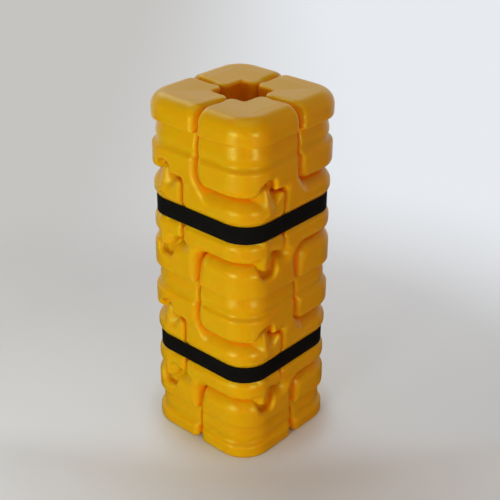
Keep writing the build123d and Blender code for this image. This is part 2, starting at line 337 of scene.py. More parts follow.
    @property
    def core(self) -> float:
        """Depth of the upright core that the next arm wraps."""
        return self.half_width - self.arm_recess - self.arm_thickness - self.arm_seat

    @property
    def tooth_foot(self) -> float:
        """How far a tooth and the room for it go back past the edge of the arm."""
        return self.window / 4

    def depth(self, x: Array, y: Array) -> Array:
        """Distance from the upright axis, counted square to the faces and round the corners."""
        return self.half_width + self.square(x, y, self.half_width)

    def square(self, x: Array, y: Array, half: Array | float) -> Array:
        """Distance to an upright square with the corners of the caps.

        Args:
            x: Places along the first axis.
            y: Places along the second axis.
            half: Half the width of the square.

        Returns:
            Distance to the rounded square.
        """
        over_x = np.abs(x) - half + self.corner_radius
        over_y = np.abs(y) - half + self.corner_radius
        outside = np.hypot(np.maximum(over_x, 0.0), np.maximum(over_y, 0.0))
        return outside + np.minimum(np.maximum(over_x, over_y), 0.0) - self.corner_radius

    def window_share(self, z: Array) -> Array:
        """Where the arm windows are.

        Args:
            z: Heights.

        Returns:
            1 at the heights of the windows and 0 at the heights of the blocks, with soft ends.
        """
        share = np.zeros_like(z)
        for bottom in self.block_tops:
            top = bottom + self.window
            inside = smoothstep(z, bottom, bottom + self.window_fade)
            inside = inside * smoothstep(z, top, top - self.window_fade)
            share = np.maximum(share, inside)
        return share

    def top(self, depth: Array) -> Array:
        """Height of the top face, slightly dished towards the passage."""
        inner = smoothstep(depth, self.half_width - self.dish_inset, self.passage_half)
        return self.height - self.top_dish * inner

    def profile(self, x: Array, y: Array, z: Array, depth: Array) -> Array:
        """Distance to the outline of caps, necks, lips and strap grooves swept all round.

        Args:
            x: Places along the first axis.
            y: Places along the second axis.
            z: Heights.
            depth: Depths of the places.

        Returns:
            Distance to the swept outline.
        """
        share = self.window_share(z)
        shape = depth - self.half_width + self.arm_recess * share
        shape = common(shape, z - self.top(depth), self.top_radius)
        shape = common(shape, -z, self.base_radius)
        for bottom in self.neck_bottoms:
            above = smoothstep(z, bottom + self.neck / 3, bottom + self.neck * 2 / 3)
            radius = self.lip_edge_radius + (self.cap_edge_radius - self.lip_edge_radius) * above
            shape = common(shape, -self.neck_room(x, y, z, bottom), radius)
        for top in self.block_tops:
            room = self.strap_room(depth, z, top + self.strap_above_block)
            shape = common(shape, -room, self.strap_edge_radius)
        return shape

    def neck_room(self, x: Array, y: Array, z: Array, bottom: float) -> Array:
        """Distance to the groove under a cap.

        Args:
            x: Places along the first axis.
            y: Places along the second axis.
            z: Heights.
            bottom: Height at which the neck starts.

        Returns:
            Distance to the room that the groove takes.
        """
        half = self.neck / 2
        middle = bottom + half
        crest = bottom + self.neck - self.neck_barrel_drop
        wall = self.half_width - self.neck_depth + self.neck_barrel * near(z, crest, half)
        foot = smoothstep(z, middle + half / 2, middle - half / 2)
        radius = self.neck_top_radius + (self.neck_foot_radius - self.neck_top_radius) * foot
        return common(-self.square(x, y, wall), np.abs(z - middle) - half, radius)

    def strap_room(self, depth: Array, z: Array, middle: float) -> Array:
        """Distance to the flared groove that a strap lies in.

        Args:
            depth: Depths of the places.
            z: Heights.
            middle: Height of the middle of the strap.

        Returns:
            Distance to the room that the groove takes.
        """
        seat = self.half_width - self.strap_recess
        flare = self.strap_flare * np.maximum(depth - seat, 0.0)
        wall = (np.abs(z - middle) - self.strap_half - flare) / math.hypot(1.0, self.strap_flare)
        return np.maximum(seat - depth, wall)

    def neck_share(self, z: Array) -> Array:
        """Where the necks are.

        Args:
            z: Heights.

        Returns:
            1 at the heights of the necks and 0 elsewhere, with soft ends.
        """
        share = np.zeros_like(z)
        foot_start, foot_end = self.neck_foot_fade
        top_start, top_end = self.neck_top_fade
        for bottom in self.neck_bottoms:
            top = bottom + self.neck
            inside = smoothstep(z, bottom + foot_start, bottom + foot_end)
            inside = inside * smoothstep(z, top + top_start, top + top_end)
            share = np.maximum(share, inside)
        return share

    def end_radius(self, z: Array, depth: Array, radius: Array) -> Array:
        """Edge radius at a seam, tighter along the necks and towards the inner top and bottom rims.

        Args:
            z: Heights.
            depth: Depths of the places.
            radius: Radius without these.

        Returns:
            Radius with them.
        """
        radius = radius + (self.neck_seam_radius - radius) * self.neck_share(z)
        outer, inner = self.inner_fade
        inside = smoothstep(depth, self.half_width - outer, self.half_width - inner)
        low, high = self.rim_fade
        top = smoothstep(z, self.height - low, self.height - high) * inside
        base = near(z, 0.0, self.base_fade) * inside
        radius = radius + (self.rim_radius - radius) * top
        return radius + (self.base_radius - radius) * base

    def block_radius(self, z: Array) -> Array:
        """Radius of the upright edges at a seam, a little tighter along the lips.

        Args:
            z: Heights.

        Returns:
            Radius at each height.
        """
        radius = np.full_like(z, self.seam_radius)
        for top in self.block_tops:
            middle = top + self.window + self.lip / 2
            radius = radius + (self.lip_seam_radius - self.seam_radius) * near(z, middle, self.lip)
        return radius

    def left_radius(self, z: Array, depth: Array) -> Array:
        """Radius of the edges on the left side of the blocks and of the strip.

        Args:
            z: Heights.
            depth: Depths of the places.

        Returns:
            Radius at each place.
        """
        radius = self.block_radius(z)
        for top in self.block_tops:
            under_lip = near(z, top + self.window, self.lip_fade)
            radius = radius + (self.lip_radius - self.seam_radius) * under_lip
            block_top = near(z, top - self.block_top_drop, self.block_top_fade)
            radius = radius + (self.block_top_radius - self.seam_radius) * block_top
        radius = radius + (self.strip_radius - radius) * self.window_share(z)
        return self.end_radius(z, depth, radius)

    def right_radius(self, x: Array, y: Array, z: Array, depth: Array) -> Array:
        """Radius of the edges on the right side of the blocks and all along the arms.

        Args:
            x: Places along the first axis.
            y: Places along the second axis.
            z: Heights.
            depth: Depths of the places.

        Returns:
            Radius at each place.
        """
        radius = self.block_radius(z)
        along = smoothstep(y, self.right_end, self.right_end + self.gusset_fade)
        under = self.gusset_radius + (self.arm_bottom_radius - self.gusset_radius) * along
        for top in self.block_tops:
            high = top + self.window - self.arm_top_clearance
            low = top + self.arm_clearance - self.arm_drop
            arm_top = near(z, high - self.arm_top_drop, self.arm_top_fade)
            radius = radius + (self.arm_top_radius - self.seam_radius) * arm_top * along
            arm_bottom = near(z, low - self.arm_bottom_drop, self.arm_bottom_fade)
            radius = radius + (under - self.seam_radius) * arm_bottom
        start, end = self.arm_tip_fade
        tip = smoothstep(self.half_width - x, self.arm_end - start, self.arm_end - end)
        radius = radius + (self.arm_tip_radius - radius) * np.where(y > 0.0, tip, 0.0)
        return self.end_radius(z, depth, radius)

    def left_side(self, x: Array, y: Array, z: Array) -> Array:
        """Distance to the blocks and the strip, seen flat on the faces, as they end on the left.

        Args:
            x: Places along the first axis.
            y: Places along the second axis.
            z: Heights.

        Returns:
            Distance to the flat shape.
        """
        blocks = np.full_like(z, -self.height)
        for top in self.block_tops:
            lip = top + self.window - self.lip_drop
            half = (lip - top) / 2
            blocks = np.maximum(blocks, half - np.abs(z - top - half))
        blocks = common(self.left_end - x, blocks, self.block_end_radius)
        strip = self.right_end - self.strip_width - y
        return joined(blocks, strip, self.strip_blend)

    def right_side(self, x: Array, y: Array, z: Array) -> Array:
        """Distance to the blocks and arms, seen flat on the faces, as they end on the right.

        Args:
            x: Places along the first axis.
            y: Places along the second axis.
            z: Heights.

        Returns:
            Distance to the flat shape.
        """
        along = self.half_width - x
        step = self.arm_step * np.where(y > 0.0, smoothstep(along, *self.arm_step_reach), 0.0)
        fade = self.arm_shoulder_fade
        band = self.height
        upper_half = 0.0
        for top in self.block_tops:
            high = top + self.window - self.arm_top_clearance
            low = top + self.arm_clearance - self.arm_drop + step
            half = (high - low) / 2
            band = np.minimum(band, np.abs(z - low - half) - half)
            above = smoothstep(z, low + half - fade, low + half + fade)
            upper_half = upper_half + above * (z < high + fade)
        wider = self.arm_shoulder_radius - self.arm_tip_radius
        radius = self.arm_tip_radius + wider * np.minimum(upper_half, 1.0)
        band = common(band, np.where(y > 0.0, along - self.arm_end, -self.half_width), radius)
        return joined(y - self.right_end, band, self.block_end_radius + self.seam_gap)

    @staticmethod
    def outline(along: Array, rise: Array, points: Section, radius: float) -> Array:
        """Distance to a shape on a face that lies under a row of lines.

        Args:
            along: Places along the face.
            rise: Heights over the foot of the shape.
            points: Points that the lines go through.
            radius: Radius of the corners between the lines.

        Returns:
            Distance to the flat shape.
        """
        shape = None
        for (start, low), (end, high) in zip(points, points[1:]):
            run, climb = end - start, high - low
            side = (run * (rise - low) - climb * (along - start)) / math.hypot(run, climb)
            shape = side if shape is None else common(shape, side, radius)
        return shape

    def notch_room(self, along: Array, depth: Array, z: Array, level: float, edge: ArmEdge) -> Array:
        """Distance to the room for a tooth in the block above or below an arm.

        Args:
            along: Places along the face.
            depth: Depths of the places.
            z: Heights.
            level: Height of the edge of the arm.
            edge: Which edge it is.

        Returns:
            Distance to the room.
        """
        rise = edge.value * (z - level)
        upper = edge is ArmEdge.UPPER
        points = self.upper_notch_points if upper else self.lower_notch_points
        shifted = along - self.notch_undercut * np.maximum(self.half_width - depth, 0.0)
        room = self.outline(shifted, rise, points, self.notch_radius)
        if upper:
            start, top = self.notch_shelf
            shelf = common(start - along, rise - top, self.notch_shelf_radius)
            room = joined(room, shelf, self.notch_radius)
        room = np.maximum(room, -self.tooth_foot - rise)
        strip_start = self.half_width + self.right_end - self.strip_width
        room = np.maximum(room, along - strip_start + self.arm_seat)
        floor = self.half_width - self.notch_depth * smoothstep(along, *self.notch_start)
        return common(room, floor - depth, self.notch_floor_radius)

    def tooth(self, along: Array, depth: Array, z: Array, level: float, edge: ArmEdge) -> Array:
        """Distance to the wedge-shaped tooth on an arm edge, a narrow flat between two facets.

        Args:
            along: Places along the face.
            depth: Depths of the places.
            z: Heights.
            level: Height of the edge of the arm.
            edge: Which edge it is.

        Returns:
            Distance to the tooth.
        """
        kind = self.upper_wedge if edge is ArmEdge.UPPER else self.lower_wedge
        start, end = kind.ridge
        rise = edge.value * (z - level)
        over = depth - self.half_width + kind.recess + kind.lean * rise
        left = math.radians(kind.left_slope)
        right = math.radians(kind.right_slope)
        left_facet = math.sin(left) * (start - along) + math.cos(left) * over
        right_facet = math.sin(right) * (along - end) + math.cos(right) * over
        shape = common(over, left_facet, self.tooth_radius)
        shape = common(shape, right_facet, self.tooth_radius)
        outline = self.outline(along, rise, kind.points, self.tooth_tip_radius)
        shape = common(shape, outline, kind.edge_radius)
        shape = np.maximum(shape, self.half_width - self.tooth_root - depth)
        return np.maximum(shape, -self.tooth_foot - rise)

    def distance(self, x: Array, y: Array, z: Array) -> Array:
        """Signed distance to the module.

        Args:
            x: Places along the first axis, in any shape that fits the others.
            y: Places along the second axis.
            z: Heights.

        Returns:
            Distance in millimetres, negative inside.
        """
        depth = self.depth(x, y)
        profile = self.profile(x, y, z, depth)
        layer = common(profile, self.left_side(x, y, z), self.left_radius(z, depth))
        layer = common(layer, self.right_side(x, y, z), self.right_radius(x, y, z, depth))
        own_along = np.where(x > self.corner_centre / 2, y + self.half_width, -self.half_width)
        arm_along = np.where(y > 0.0, self.half_width - x, -self.half_width)
        for top in self.block_tops:
            low = top + self.arm_clearance
            high = top + self.window - self.arm_top_clearance
            for level, edge in ((high, ArmEdge.UPPER), (low, ArmEdge.LOWER)):
                notch = self.notch_room(own_along, depth, z, level, edge)
                layer = np.where(y < 0.0, common(layer, -notch, self.notch_edge_radius), layer)
                tooth = self.tooth(arm_along, depth, z, level, edge)
                layer = np.where(y > 0.0, joined(layer, tooth, self.tooth_blend), layer)
        start, end = self.arm_root_fade
        arm_share = smoothstep(y, self.right_end - start, self.right_end - end)
        seat = self.core - self.core_overlap + (self.core_overlap + self.arm_seat) * arm_share
        layer = common(layer, seat - depth, self.arm_seat_radius)
        shape = np.minimum(layer, self.core_block(x, y, z, depth))
        plug = np.hypot(x - self.plug_place, y + self.plug_place) - self.plug_seat_radius
        return common(shape, -np.maximum(plug, z - self.plug_seat_depth), self.plug_seat_edge)

    def core_block(self, x: Array, y: Array, z: Array, depth: Array) -> Array:
        """Distance to the upright core round the post passage.

        Args:
            x: Places along the first axis.
            y: Places along the second axis.
            z: Heights.
            depth: Depths of the places.

        Returns:
            Distance to the core.
        """
        passage = joined(self.passage_half - x, y + self.passage_half, self.passage_radius)
        ends = common(self.left_end - x, passage, self.passage_corner)
        ends = common(ends, y - self.right_end, self.passage_corner)
        block = common(depth - self.core, ends, self.base_radius)
        away = smoothstep(depth - self.passage_half, *self.passage_rim_fade)
        rim = self.passage_rim_radius + (self.rim_radius - self.passage_rim_radius) * away
        block = common(block, z - self.top(depth), rim)
        return common(block, -z, self.base_radius)


@dataclass
class SkinMesh:
    """Even mesh of quads laid on the surface of a module form."""

    form: ModuleForm
    cell: float = 2.5
    margin: float = 5.0
    step: float = 0.05
    passes: int = 4
    least_slope: float = 0.5
    longest_move: float = 1.0
    reaches: tuple[float, ...] = (8.0, 60.0)
    recess_share: float = 0.5
    passage_share: float = 0.5
    passage_fade: Pair = (7.0, 1.0)
    edge_reach: float = 1.5
    edge_radius: float = 5.0

    def grid(self) -> list[Array]:
        """Places of the grid planes along the three axes.

        Returns:
            One row of places for each axis.
        """
        half = self.form.half_width + self.margin
        spans = ((0.0, half), (-half, half), (-self.margin, self.form.height + self.margin))
        return [np.arange(low, high + self.cell, self.cell) for low, high in spans]

    def net(self) -> tuple[Array, Array]:
        """Rough net through the grid cells that the surface crosses.

        Returns:
            Its points and its quads.
        """
        axes = self.grid()
        values = self.form.distance(*np.ix_(*axes))
        inside = values < 0.0
        shape = [length - 1 for length in inside.shape]
        cell_corners = list(product((0, 1), repeat=3))
        count = np.zeros(shape, np.int8)
        for offset in cell_corners:
            window = tuple(slice(start, start + length) for start, length in zip(offset, shape))
            count += inside[window]
        active = (count > 0) & (count < len(cell_corners))
        cells = np.argwhere(active)
        index = np.full(shape, -1, np.int64)
        index[active] = np.arange(len(cells))
        points = self.crossings(values, cells) * self.cell + np.array([axis[0] for axis in axes])
        return points, self.quads(inside, index)

    @staticmethod
    def crossings(values: Array, cells: Array) -> Array:
        """Mean of the places where the surface crosses each cell's edges.

        Args:
            values: Distances at the corners of the grid.
            cells: Numbers of the cells along the three axes.

        Returns:
            One place for each cell, counted in cells.
        """
        total = np.zeros(cells.shape, float)
        hits = np.zeros(len(cells), float)
        for axis in range(3):
            for pair in product((0, 1), repeat=2):
                start = np.insert(np.array(pair), axis, 0)
                end = np.insert(np.array(pair), axis, 1)
                first = values[tuple((cells + start).T)]
                second = values[tuple((cells + end).T)]
                crossed = (first < 0.0) != (second < 0.0)
                gap = np.where(crossed, first - second, 1.0)
                share = np.where(crossed, first / gap, 0.0)
                total += crossed[:, None] * (start + share[:, None] * (end - start))
                hits += crossed
        return cells + total / hits[:, None]

    @staticmethod
    def quads(inside: Array, index: Array) -> Array:
        """One quad for each grid edge that the surface crosses, facing outwards.

        Args:
            inside: Which corners of the grid lie inside the form.
            index: Number of the point in each cell.

        Returns:
            Four point numbers for each quad.
        """
        found = []
        for axis in range(3):
            ahead, second, third = axis, (axis + 1) % 3, (axis + 2) % 3
            states = np.moveaxis(inside, (ahead, second, third), (0, 1, 2))
            order = np.moveaxis(index, (ahead, second, third), (0, 1, 2))
            first_in = states[:-1, 1:-1, 1:-1]
            second_in = states[1:, 1:-1, 1:-1]
            ring = [order[:, :-1, :-1], order[:, 1:, :-1], order[:, 1:, 1:], order[:, :-1, 1:]]
            leaving = first_in & ~second_in
            entering = second_in & ~first_in
            found.append(np.stack([cell[leaving] for cell in ring], axis=1))
            found.append(np.stack([cell[entering] for cell in reversed(ring)], axis=1))
        return np.concatenate(found)

    def slope(self, points: Array) -> Array:
        """Direction in which the distance grows.

        Args:
            points: Places to read it at.

        Returns:
            One direction for each point, about 1 long.
        """
        parts = []
        for axis in range(3):
            shift = np.zeros(3)
            shift[axis] = self.step
            ahead = self.form.distance(*(points + shift).T)
            behind = self.form.distance(*(points - shift).T)
            parts.append((ahead - behind) / (2.0 * self.step))
        return np.stack(parts, axis=1)

    def build(self, name: str) -> Mesh:
        """Lay the net onto the surface and write it as a mesh.

        Args:
            name: Name of the mesh.

        Returns:
            A smooth closed mesh in metres.
        """
        points, quads = self.net()
        for _ in range(self.passes):
            slope = self.slope(points)
            length = np.maximum((slope * slope).sum(axis=1), self.least_slope**2)
            move = self.form.distance(*points.T) / length
            points = points - np.clip(move, -self.longest_move, self.longest_move)[:, None] * slope
        slope = self.slope(points)
        normals = slope / np.maximum(np.linalg.norm(slope, axis=1), NEARLY_NOTHING)[:, None]
        mesh = bpy.data.meshes.new(name)
        mesh.from_pydata((points * MM).tolist(), [], quads.tolist())
        mesh.polygons.foreach_set("use_smooth", np.ones(len(quads), bool))
        mesh.normals_split_custom_set_from_vertices(normals.tolist())
        mesh.update()
        place_on(mesh, "recess", self.recess(points, normals))
        place_on(mesh, "edge", self.edge(points))
        return mesh

    def recess(self, points: Array, normals: Array) -> Array:
        """How far each point lies inside a gap or hollow of the four modules together.

        Args:
            points: Points of the skin.
            normals: Their outward directions.

        Returns:
            Values from 0 in the open to 1 in the narrowest gaps.
        """
        # The resin finish paints shade and bounce glow by this mask; it is raised on the walls of the post
        # passage for a painted glow there.
        from_passage = self.form.depth(points[:, 0], points[:, 1]) - self.form.passage_half
        total = self.passage_share * smoothstep(from_passage, *self.passage_fade)
        # Occlusion by nearby surfaces, read from how free the space along the normal is.
        for reach in self.reaches:
            probe = points + reach * normals
            free = np.full(len(points), reach)
            for place in Place:
                turn = math.radians(place.value)
                x = probe[:, 0] * math.cos(turn) + probe[:, 1] * math.sin(turn)
                y = probe[:, 1] * math.cos(turn) - probe[:, 0] * math.sin(turn)
                free = np.minimum(free, self.form.distance(x, y, probe[:, 2]))
            total += self.recess_share * np.clip(1.0 - free / reach, 0.0, 1.0)
        return np.minimum(total, 1.0)

    def edge(self, points: Array) -> Array:
        """How sharply the surface turns outwards.

        Args:
            points: Points of the skin.

        Returns:
            Values from 0 on flats and in hollows to 1 on tight edges.
        """
        neighbours = list(product(range(3), (1.0, -1.0)))
        bend = -len(neighbours) * self.form.distance(*points.T)
        for axis, side in neighbours:
            shift = np.zeros(3)
            shift[axis] = side * self.edge_reach
            bend = bend + self.form.distance(*(points + shift).T)
        return np.clip(bend / self.edge_reach**2 * self.edge_radius, 0.0, 1.0)


class Graph:
    """Node tree with short ways to add nodes and to join them."""

    def __init__(self, tree: bpy.types.NodeTree) -> None:
        """Keep the tree that the nodes go into."""
        self.tree = tree

    def feed(self, socket: Socket, value: Any) -> None:
        """Join a socket to another one, or set its value.

        Args:
            socket: Input to feed.
            value: Output to join it to, or a plain value.
        """
        if isinstance(value, bpy.types.NodeSocket):
            self.tree.links.new(value, socket)
        else:
            socket.default_value = value

    def node(self, kind: str, inputs: dict[Any, Any] | None = None, **settings: Any) -> bpy.types.Node:
        """Add a node.

        Args:
            kind: Type of shader node, without its prefix.
            inputs: Values or sockets for the inputs, by name or number.
            settings: Other properties of the node.

        Returns:
            The new node.
        """
        node = self.tree.nodes.new(f"ShaderNode{kind}")
        for name, value in settings.items():
            setattr(node, name, value)
        for name, value in (inputs or {}).items():
            self.feed(node.inputs[name], value)
        return node

    def math(self, operation: str, *values: Any) -> Socket:
        """Work out one value from up to three others."""
        return self.node("Math", dict(enumerate(values)), operation=operation).outputs[0]

    def span(self, value: Socket, low: float, high: float, start: float = 0.0, end: float = 1.0) -> Socket:
        """Soft step from start, where the value is low, to end, where it is high."""
        sizes = {"Value": value, "From Min": low, "From Max": high, "To Min": start, "To Max": end}
        return self.node("MapRange", sizes, interpolation_type="SMOOTHSTEP").outputs["Result"]

    def mix(self, share: Any, first: Any, second: Any) -> Socket:
        """Colour between two colours."""
        return self.node("Mix", {0: share, 6: first, 7: second}, data_type="RGBA").outputs[2]

    def noise(self, place: Socket, scale: Any, detail: float, stretch: Triple | None = None) -> Socket:
        """Cloudy noise.

        Args:
            place: Where to read it.
            scale: How fine the clouds are.
            detail: How many finer clouds lie in them.
            stretch: Fineness along the three axes where they differ.

        Returns:
            A value between 0 and 1.
        """
        if stretch is not None:
            scaled = self.node("VectorMath", {0: place, 1: stretch}, operation="MULTIPLY")
            place = scaled.outputs["Vector"]
        return self.node("TexNoise", {"Vector": place, "Scale": scale, "Detail": detail}).outputs["Fac"]

    def attribute(self, name: str, output: str = "Fac") -> Socket:
        """Value that the mesh carries under a name."""
        return self.node("Attribute", attribute_name=name).outputs[output]

    def effect(self, group: bpy.types.NodeTree, inputs: dict[str, Any]) -> dict[str, Socket]:
        """Place one of the shared effects.

        Args:
            group: The shared node group.
            inputs: Values or sockets for its inputs, by name.

        Returns:
            Its outputs by name.
        """
        node = self.node("Group", node_tree=group)
        for name, value in inputs.items():
            self.feed(node.inputs[name], value)
        return dict(node.outputs.items())


@dataclass(frozen=True)
class Effects:
    """Surface effects that several finishes share, each a node group that is built once.

    A band holds the two values between which a noise goes over from nothing to all.
    """

    cloud_scale: float = 9.0
    cloud_band: Pair = (0.32, 0.68)
    line_fineness: float = 14.0
    line_stretch: Triple = (1.0, 0.07, 0.35)
    line_band: Pair = (0.35, 0.7)
    grain_scale: float = 260.0
    grain_fineness: float = 6.0
    fine_share: float = 0.3
    stroke_scale: float = 85.0
    stroke_stretch: Triple = (1.0, 1.0, 0.2)
    stroke_band: Pair = (0.52, 0.74)
    patch_scale: float = 16.0
    patch_band: Pair = (0.45, 0.7)
    edge_share: float = 0.8
    patch_share: float = 0.35
    speck_scale: float = 240.0
    speck_band: Pair = (0.4, 0.7)
    wear_amount: float = 0.5
    yarn_pitch: float = 1.2
    yarn_wave: Pair = (0.4, 0.6)

    @staticmethod
    def group(name: str, values: dict[str, float], results: tuple[str, ...]) -> tuple[Graph, Any, Any]:
        """Start a node group.

        Args:
            name: Name of the group.
            values: Plain inputs with their usual values; a place is always added first.
            results: Names of the outputs.

        Returns:
            The graph of the group, its inputs as sockets to read, and its outputs as sockets to feed.
        """
        tree = bpy.data.node_groups.new(name, "ShaderNodeTree")
        tree.interface.new_socket("Place", in_out="INPUT", socket_type="NodeSocketVector")
        for value_name, value in values.items():
            socket = tree.interface.new_socket(value_name, in_out="INPUT", socket_type="NodeSocketFloat")
            socket.default_value = value
        for result in results:
            tree.interface.new_socket(result, in_out="OUTPUT", socket_type="NodeSocketFloat")
        given = tree.nodes.new("NodeGroupInput").outputs
        asked = tree.nodes.new("NodeGroupOutput").inputs
        return Graph(tree), given, asked

    @cached_property
    def tone(self) -> bpy.types.NodeTree:
        """Broad clouds of colour and fine flow lines along the second axis.

        Returns:
            The node group.
        """
        graph, given, asked = self.group("uneven_tone", {"Scale": self.cloud_scale}, ("Clouds", "Lines"))
        clouds = graph.noise(given["Place"], given["Scale"], detail=4.0)
        graph.feed(asked["Clouds"], graph.span(clouds, *self.cloud_band))
        fine = graph.math("MULTIPLY", given["Scale"], self.line_fineness)
        lines = graph.noise(given["Place"], fine, detail=3.0, stretch=self.line_stretch)
        graph.feed(asked["Lines"], graph.span(lines, *self.line_band))
        return graph.tree

    @cached_property
    def grain(self) -> bpy.types.NodeTree:
        """Soft ripple of a moulded skin with a fine grain on it.

        Returns:
            The node group.
        """
        values = {"Scale": self.grain_scale, "Fine": self.fine_share}
        graph, given, asked = self.group("moulded_grain", values, ("Height",))
        ripple = graph.noise(given["Place"], given["Scale"], detail=2.0)
        fine_scale = graph.math("MULTIPLY", given["Scale"], self.grain_fineness)
        fine = graph.noise(given["Place"], fine_scale, detail=3.0)
        height = graph.math("ADD", ripple, graph.math("MULTIPLY", fine, given["Fine"]))
        graph.feed(asked["Height"], height)
        return graph.tree

    @cached_property
    def wear(self) -> bpy.types.NodeTree:
        """Pale scuffs, mostly on the edges, and dust that gathers in hollows.

        Returns:
            The node group.
        """
        values = {"Edge": 0.0, "Recess": 0.0, "Amount": self.wear_amount}
        graph, given, asked = self.group("handling_wear", values, ("Scuffs", "Dust"))
        strokes = graph.noise(given["Place"], self.stroke_scale, detail=5.0, stretch=self.stroke_stretch)
        patches = graph.noise(given["Place"], self.patch_scale, detail=2.0)
        on_edges = graph.math("MULTIPLY", given["Edge"], self.edge_share)
        on_patches = graph.math("MULTIPLY", graph.span(patches, *self.patch_band), self.patch_share)
        reach = graph.math("ADD", on_edges, on_patches)
        scuffs = graph.math("MULTIPLY", graph.span(strokes, *self.stroke_band), reach)
        graph.feed(asked["Scuffs"], graph.math("MULTIPLY", scuffs, given["Amount"]))
        specks = graph.noise(given["Place"], self.speck_scale, detail=3.0)
        dust = graph.math("MULTIPLY", graph.span(specks, *self.speck_band), given["Recess"])
        graph.feed(asked["Dust"], graph.math("MULTIPLY", dust, given["Amount"]))
        return graph.tree

    @cached_property
    def weave(self) -> bpy.types.NodeTree:
        """Plain weave of yarns, with its place counted along and across the cloth.

        Returns:
            The node group.
        """
        graph, given, asked = self.group("woven_yarns", {"Pitch": self.yarn_pitch * MM}, ("Height", "Yarn"))
        parts = graph.node("SeparateXYZ", {"Vector": given["Place"]}).outputs
        across = graph.math("DIVIDE", parts["Y"], given["Pitch"])
        along = graph.math("DIVIDE", parts["X"], given["Pitch"])
        row = graph.math("FLOOR", across)
        ridge = graph.math("ABSOLUTE", graph.math("SINE", graph.math("MULTIPLY", across, math.pi)))
        turn = graph.math("MULTIPLY", graph.math("ADD", along, row), math.pi)
        wave = graph.math("MULTIPLY_ADD", graph.math("SINE", turn), *self.yarn_wave)
        graph.feed(asked["Height"], graph.math("MULTIPLY", ridge, wave))
        shade = graph.node("TexWhiteNoise", {"W": row}, noise_dimensions="1D")
        graph.feed(asked["Yarn"], shade.outputs["Value"])
        return graph.tree


@dataclass(frozen=True)
class Finish:
    """Colours and gloss that every finish of the protector has."""

    name: str
    colour: Colour
    shade: Colour
    # Pale colour of wear, which on the tapes also carries the painted sheen on the raised yarns.
    worn_and_sheen: Colour
    roughness: float

    def start(self) -> tuple[Material, Graph, bpy.types.Node]:
        """Start a material.

        Returns:
            The new material, the graph of its nodes and its shader.
        """
        material = bpy.data.materials.new(self.name)
        material.use_nodes = True
        return material, Graph(material.node_tree), material.node_tree.nodes["Principled BSDF"]

    @staticmethod
    def relief(graph: Graph, shader: bpy.types.Node, height: Socket, depth: float, strength: float) -> None:
        """Let a height bend the light as a relief of some depth in millimetres would."""
        bump = graph.node("Bump", {"Height": height, "Distance": depth * MM, "Strength": strength})
        graph.feed(shader.inputs["Normal"], bump.outputs["Normal"])


@dataclass(frozen=True)
class MouldedResin(Finish):
    """Semi-gloss moulded polyethylene, coloured all through."""

    # Painted shade and bounce glow: a richer orange that the recess mask mixes in, in the gaps between
    # modules and on the walls of the post passage.
    painted_gap_shade_and_glow: Colour
    tint: Colour
    painted_gap_reach: Pair = (0.35, 1.0)
    scuffing: float = 0.2
    tone_scale: float = 8.0
    line_roughness: float = 0.015
    line_start: float = 0.008
    scuff_roughness: float = 0.3
    dust_roughness: float = 0.2
    refraction: float = 1.5
    grain: float = 0.22
    grain_scale: float = 240.0
    grain_depth: float = 0.2
    glow: float = 0.5
    glow_reach: Triple = (1.0, 0.35, 0.05)
    glow_scale: float = 14.0

    def material(self, effects: Effects) -> Material:
        """Material of the finish.

        Args:
            effects: The shared effects.

        Returns:
            A new material.
        """
        material, graph, shader = self.start()
        place = graph.node("TexCoord").outputs["Object"]
        recess = graph.attribute("recess")
        edge = graph.attribute("edge")
        handling = {"Place": place, "Edge": edge, "Recess": recess, "Amount": self.scuffing}
        tone = graph.effect(effects.tone, {"Place": place, "Scale": self.tone_scale})
        wear = graph.effect(effects.wear, handling)
        grain = graph.effect(effects.grain, {"Place": place, "Scale": self.grain_scale})
        colour = graph.mix(tone["Clouds"], self.colour, self.shade)
        # Painted shade and bounce glow in gaps, notches and the post passage, mixed in by the recess mask.
        colour = graph.mix(graph.span(recess, *self.painted_gap_reach), colour, self.painted_gap_shade_and_glow)
        colour = graph.mix(wear["Scuffs"], colour, self.worn_and_sheen)
        graph.feed(shader.inputs["Base Color"], colour)
        smooth = self.roughness - self.line_start
        rough = graph.math("MULTIPLY_ADD", tone["Lines"], self.line_roughness, smooth)
        rough = graph.math("ADD", rough, graph.math("MULTIPLY", wear["Scuffs"], self.scuff_roughness))
        rough = graph.math("ADD", rough, graph.math("MULTIPLY", wear["Dust"], self.dust_roughness))
        graph.feed(shader.inputs["Roughness"], rough)
        shader.inputs["IOR"].default_value = self.refraction
        shader.inputs["Subsurface Weight"].default_value = self.glow
        shader.inputs["Subsurface Radius"].default_value = self.glow_reach
        shader.inputs["Subsurface Scale"].default_value = self.glow_scale * MM
        shader.inputs["Specular Tint"].default_value = self.tint
        self.relief(graph, shader, grain["Height"], self.grain_depth, self.grain)
        return material


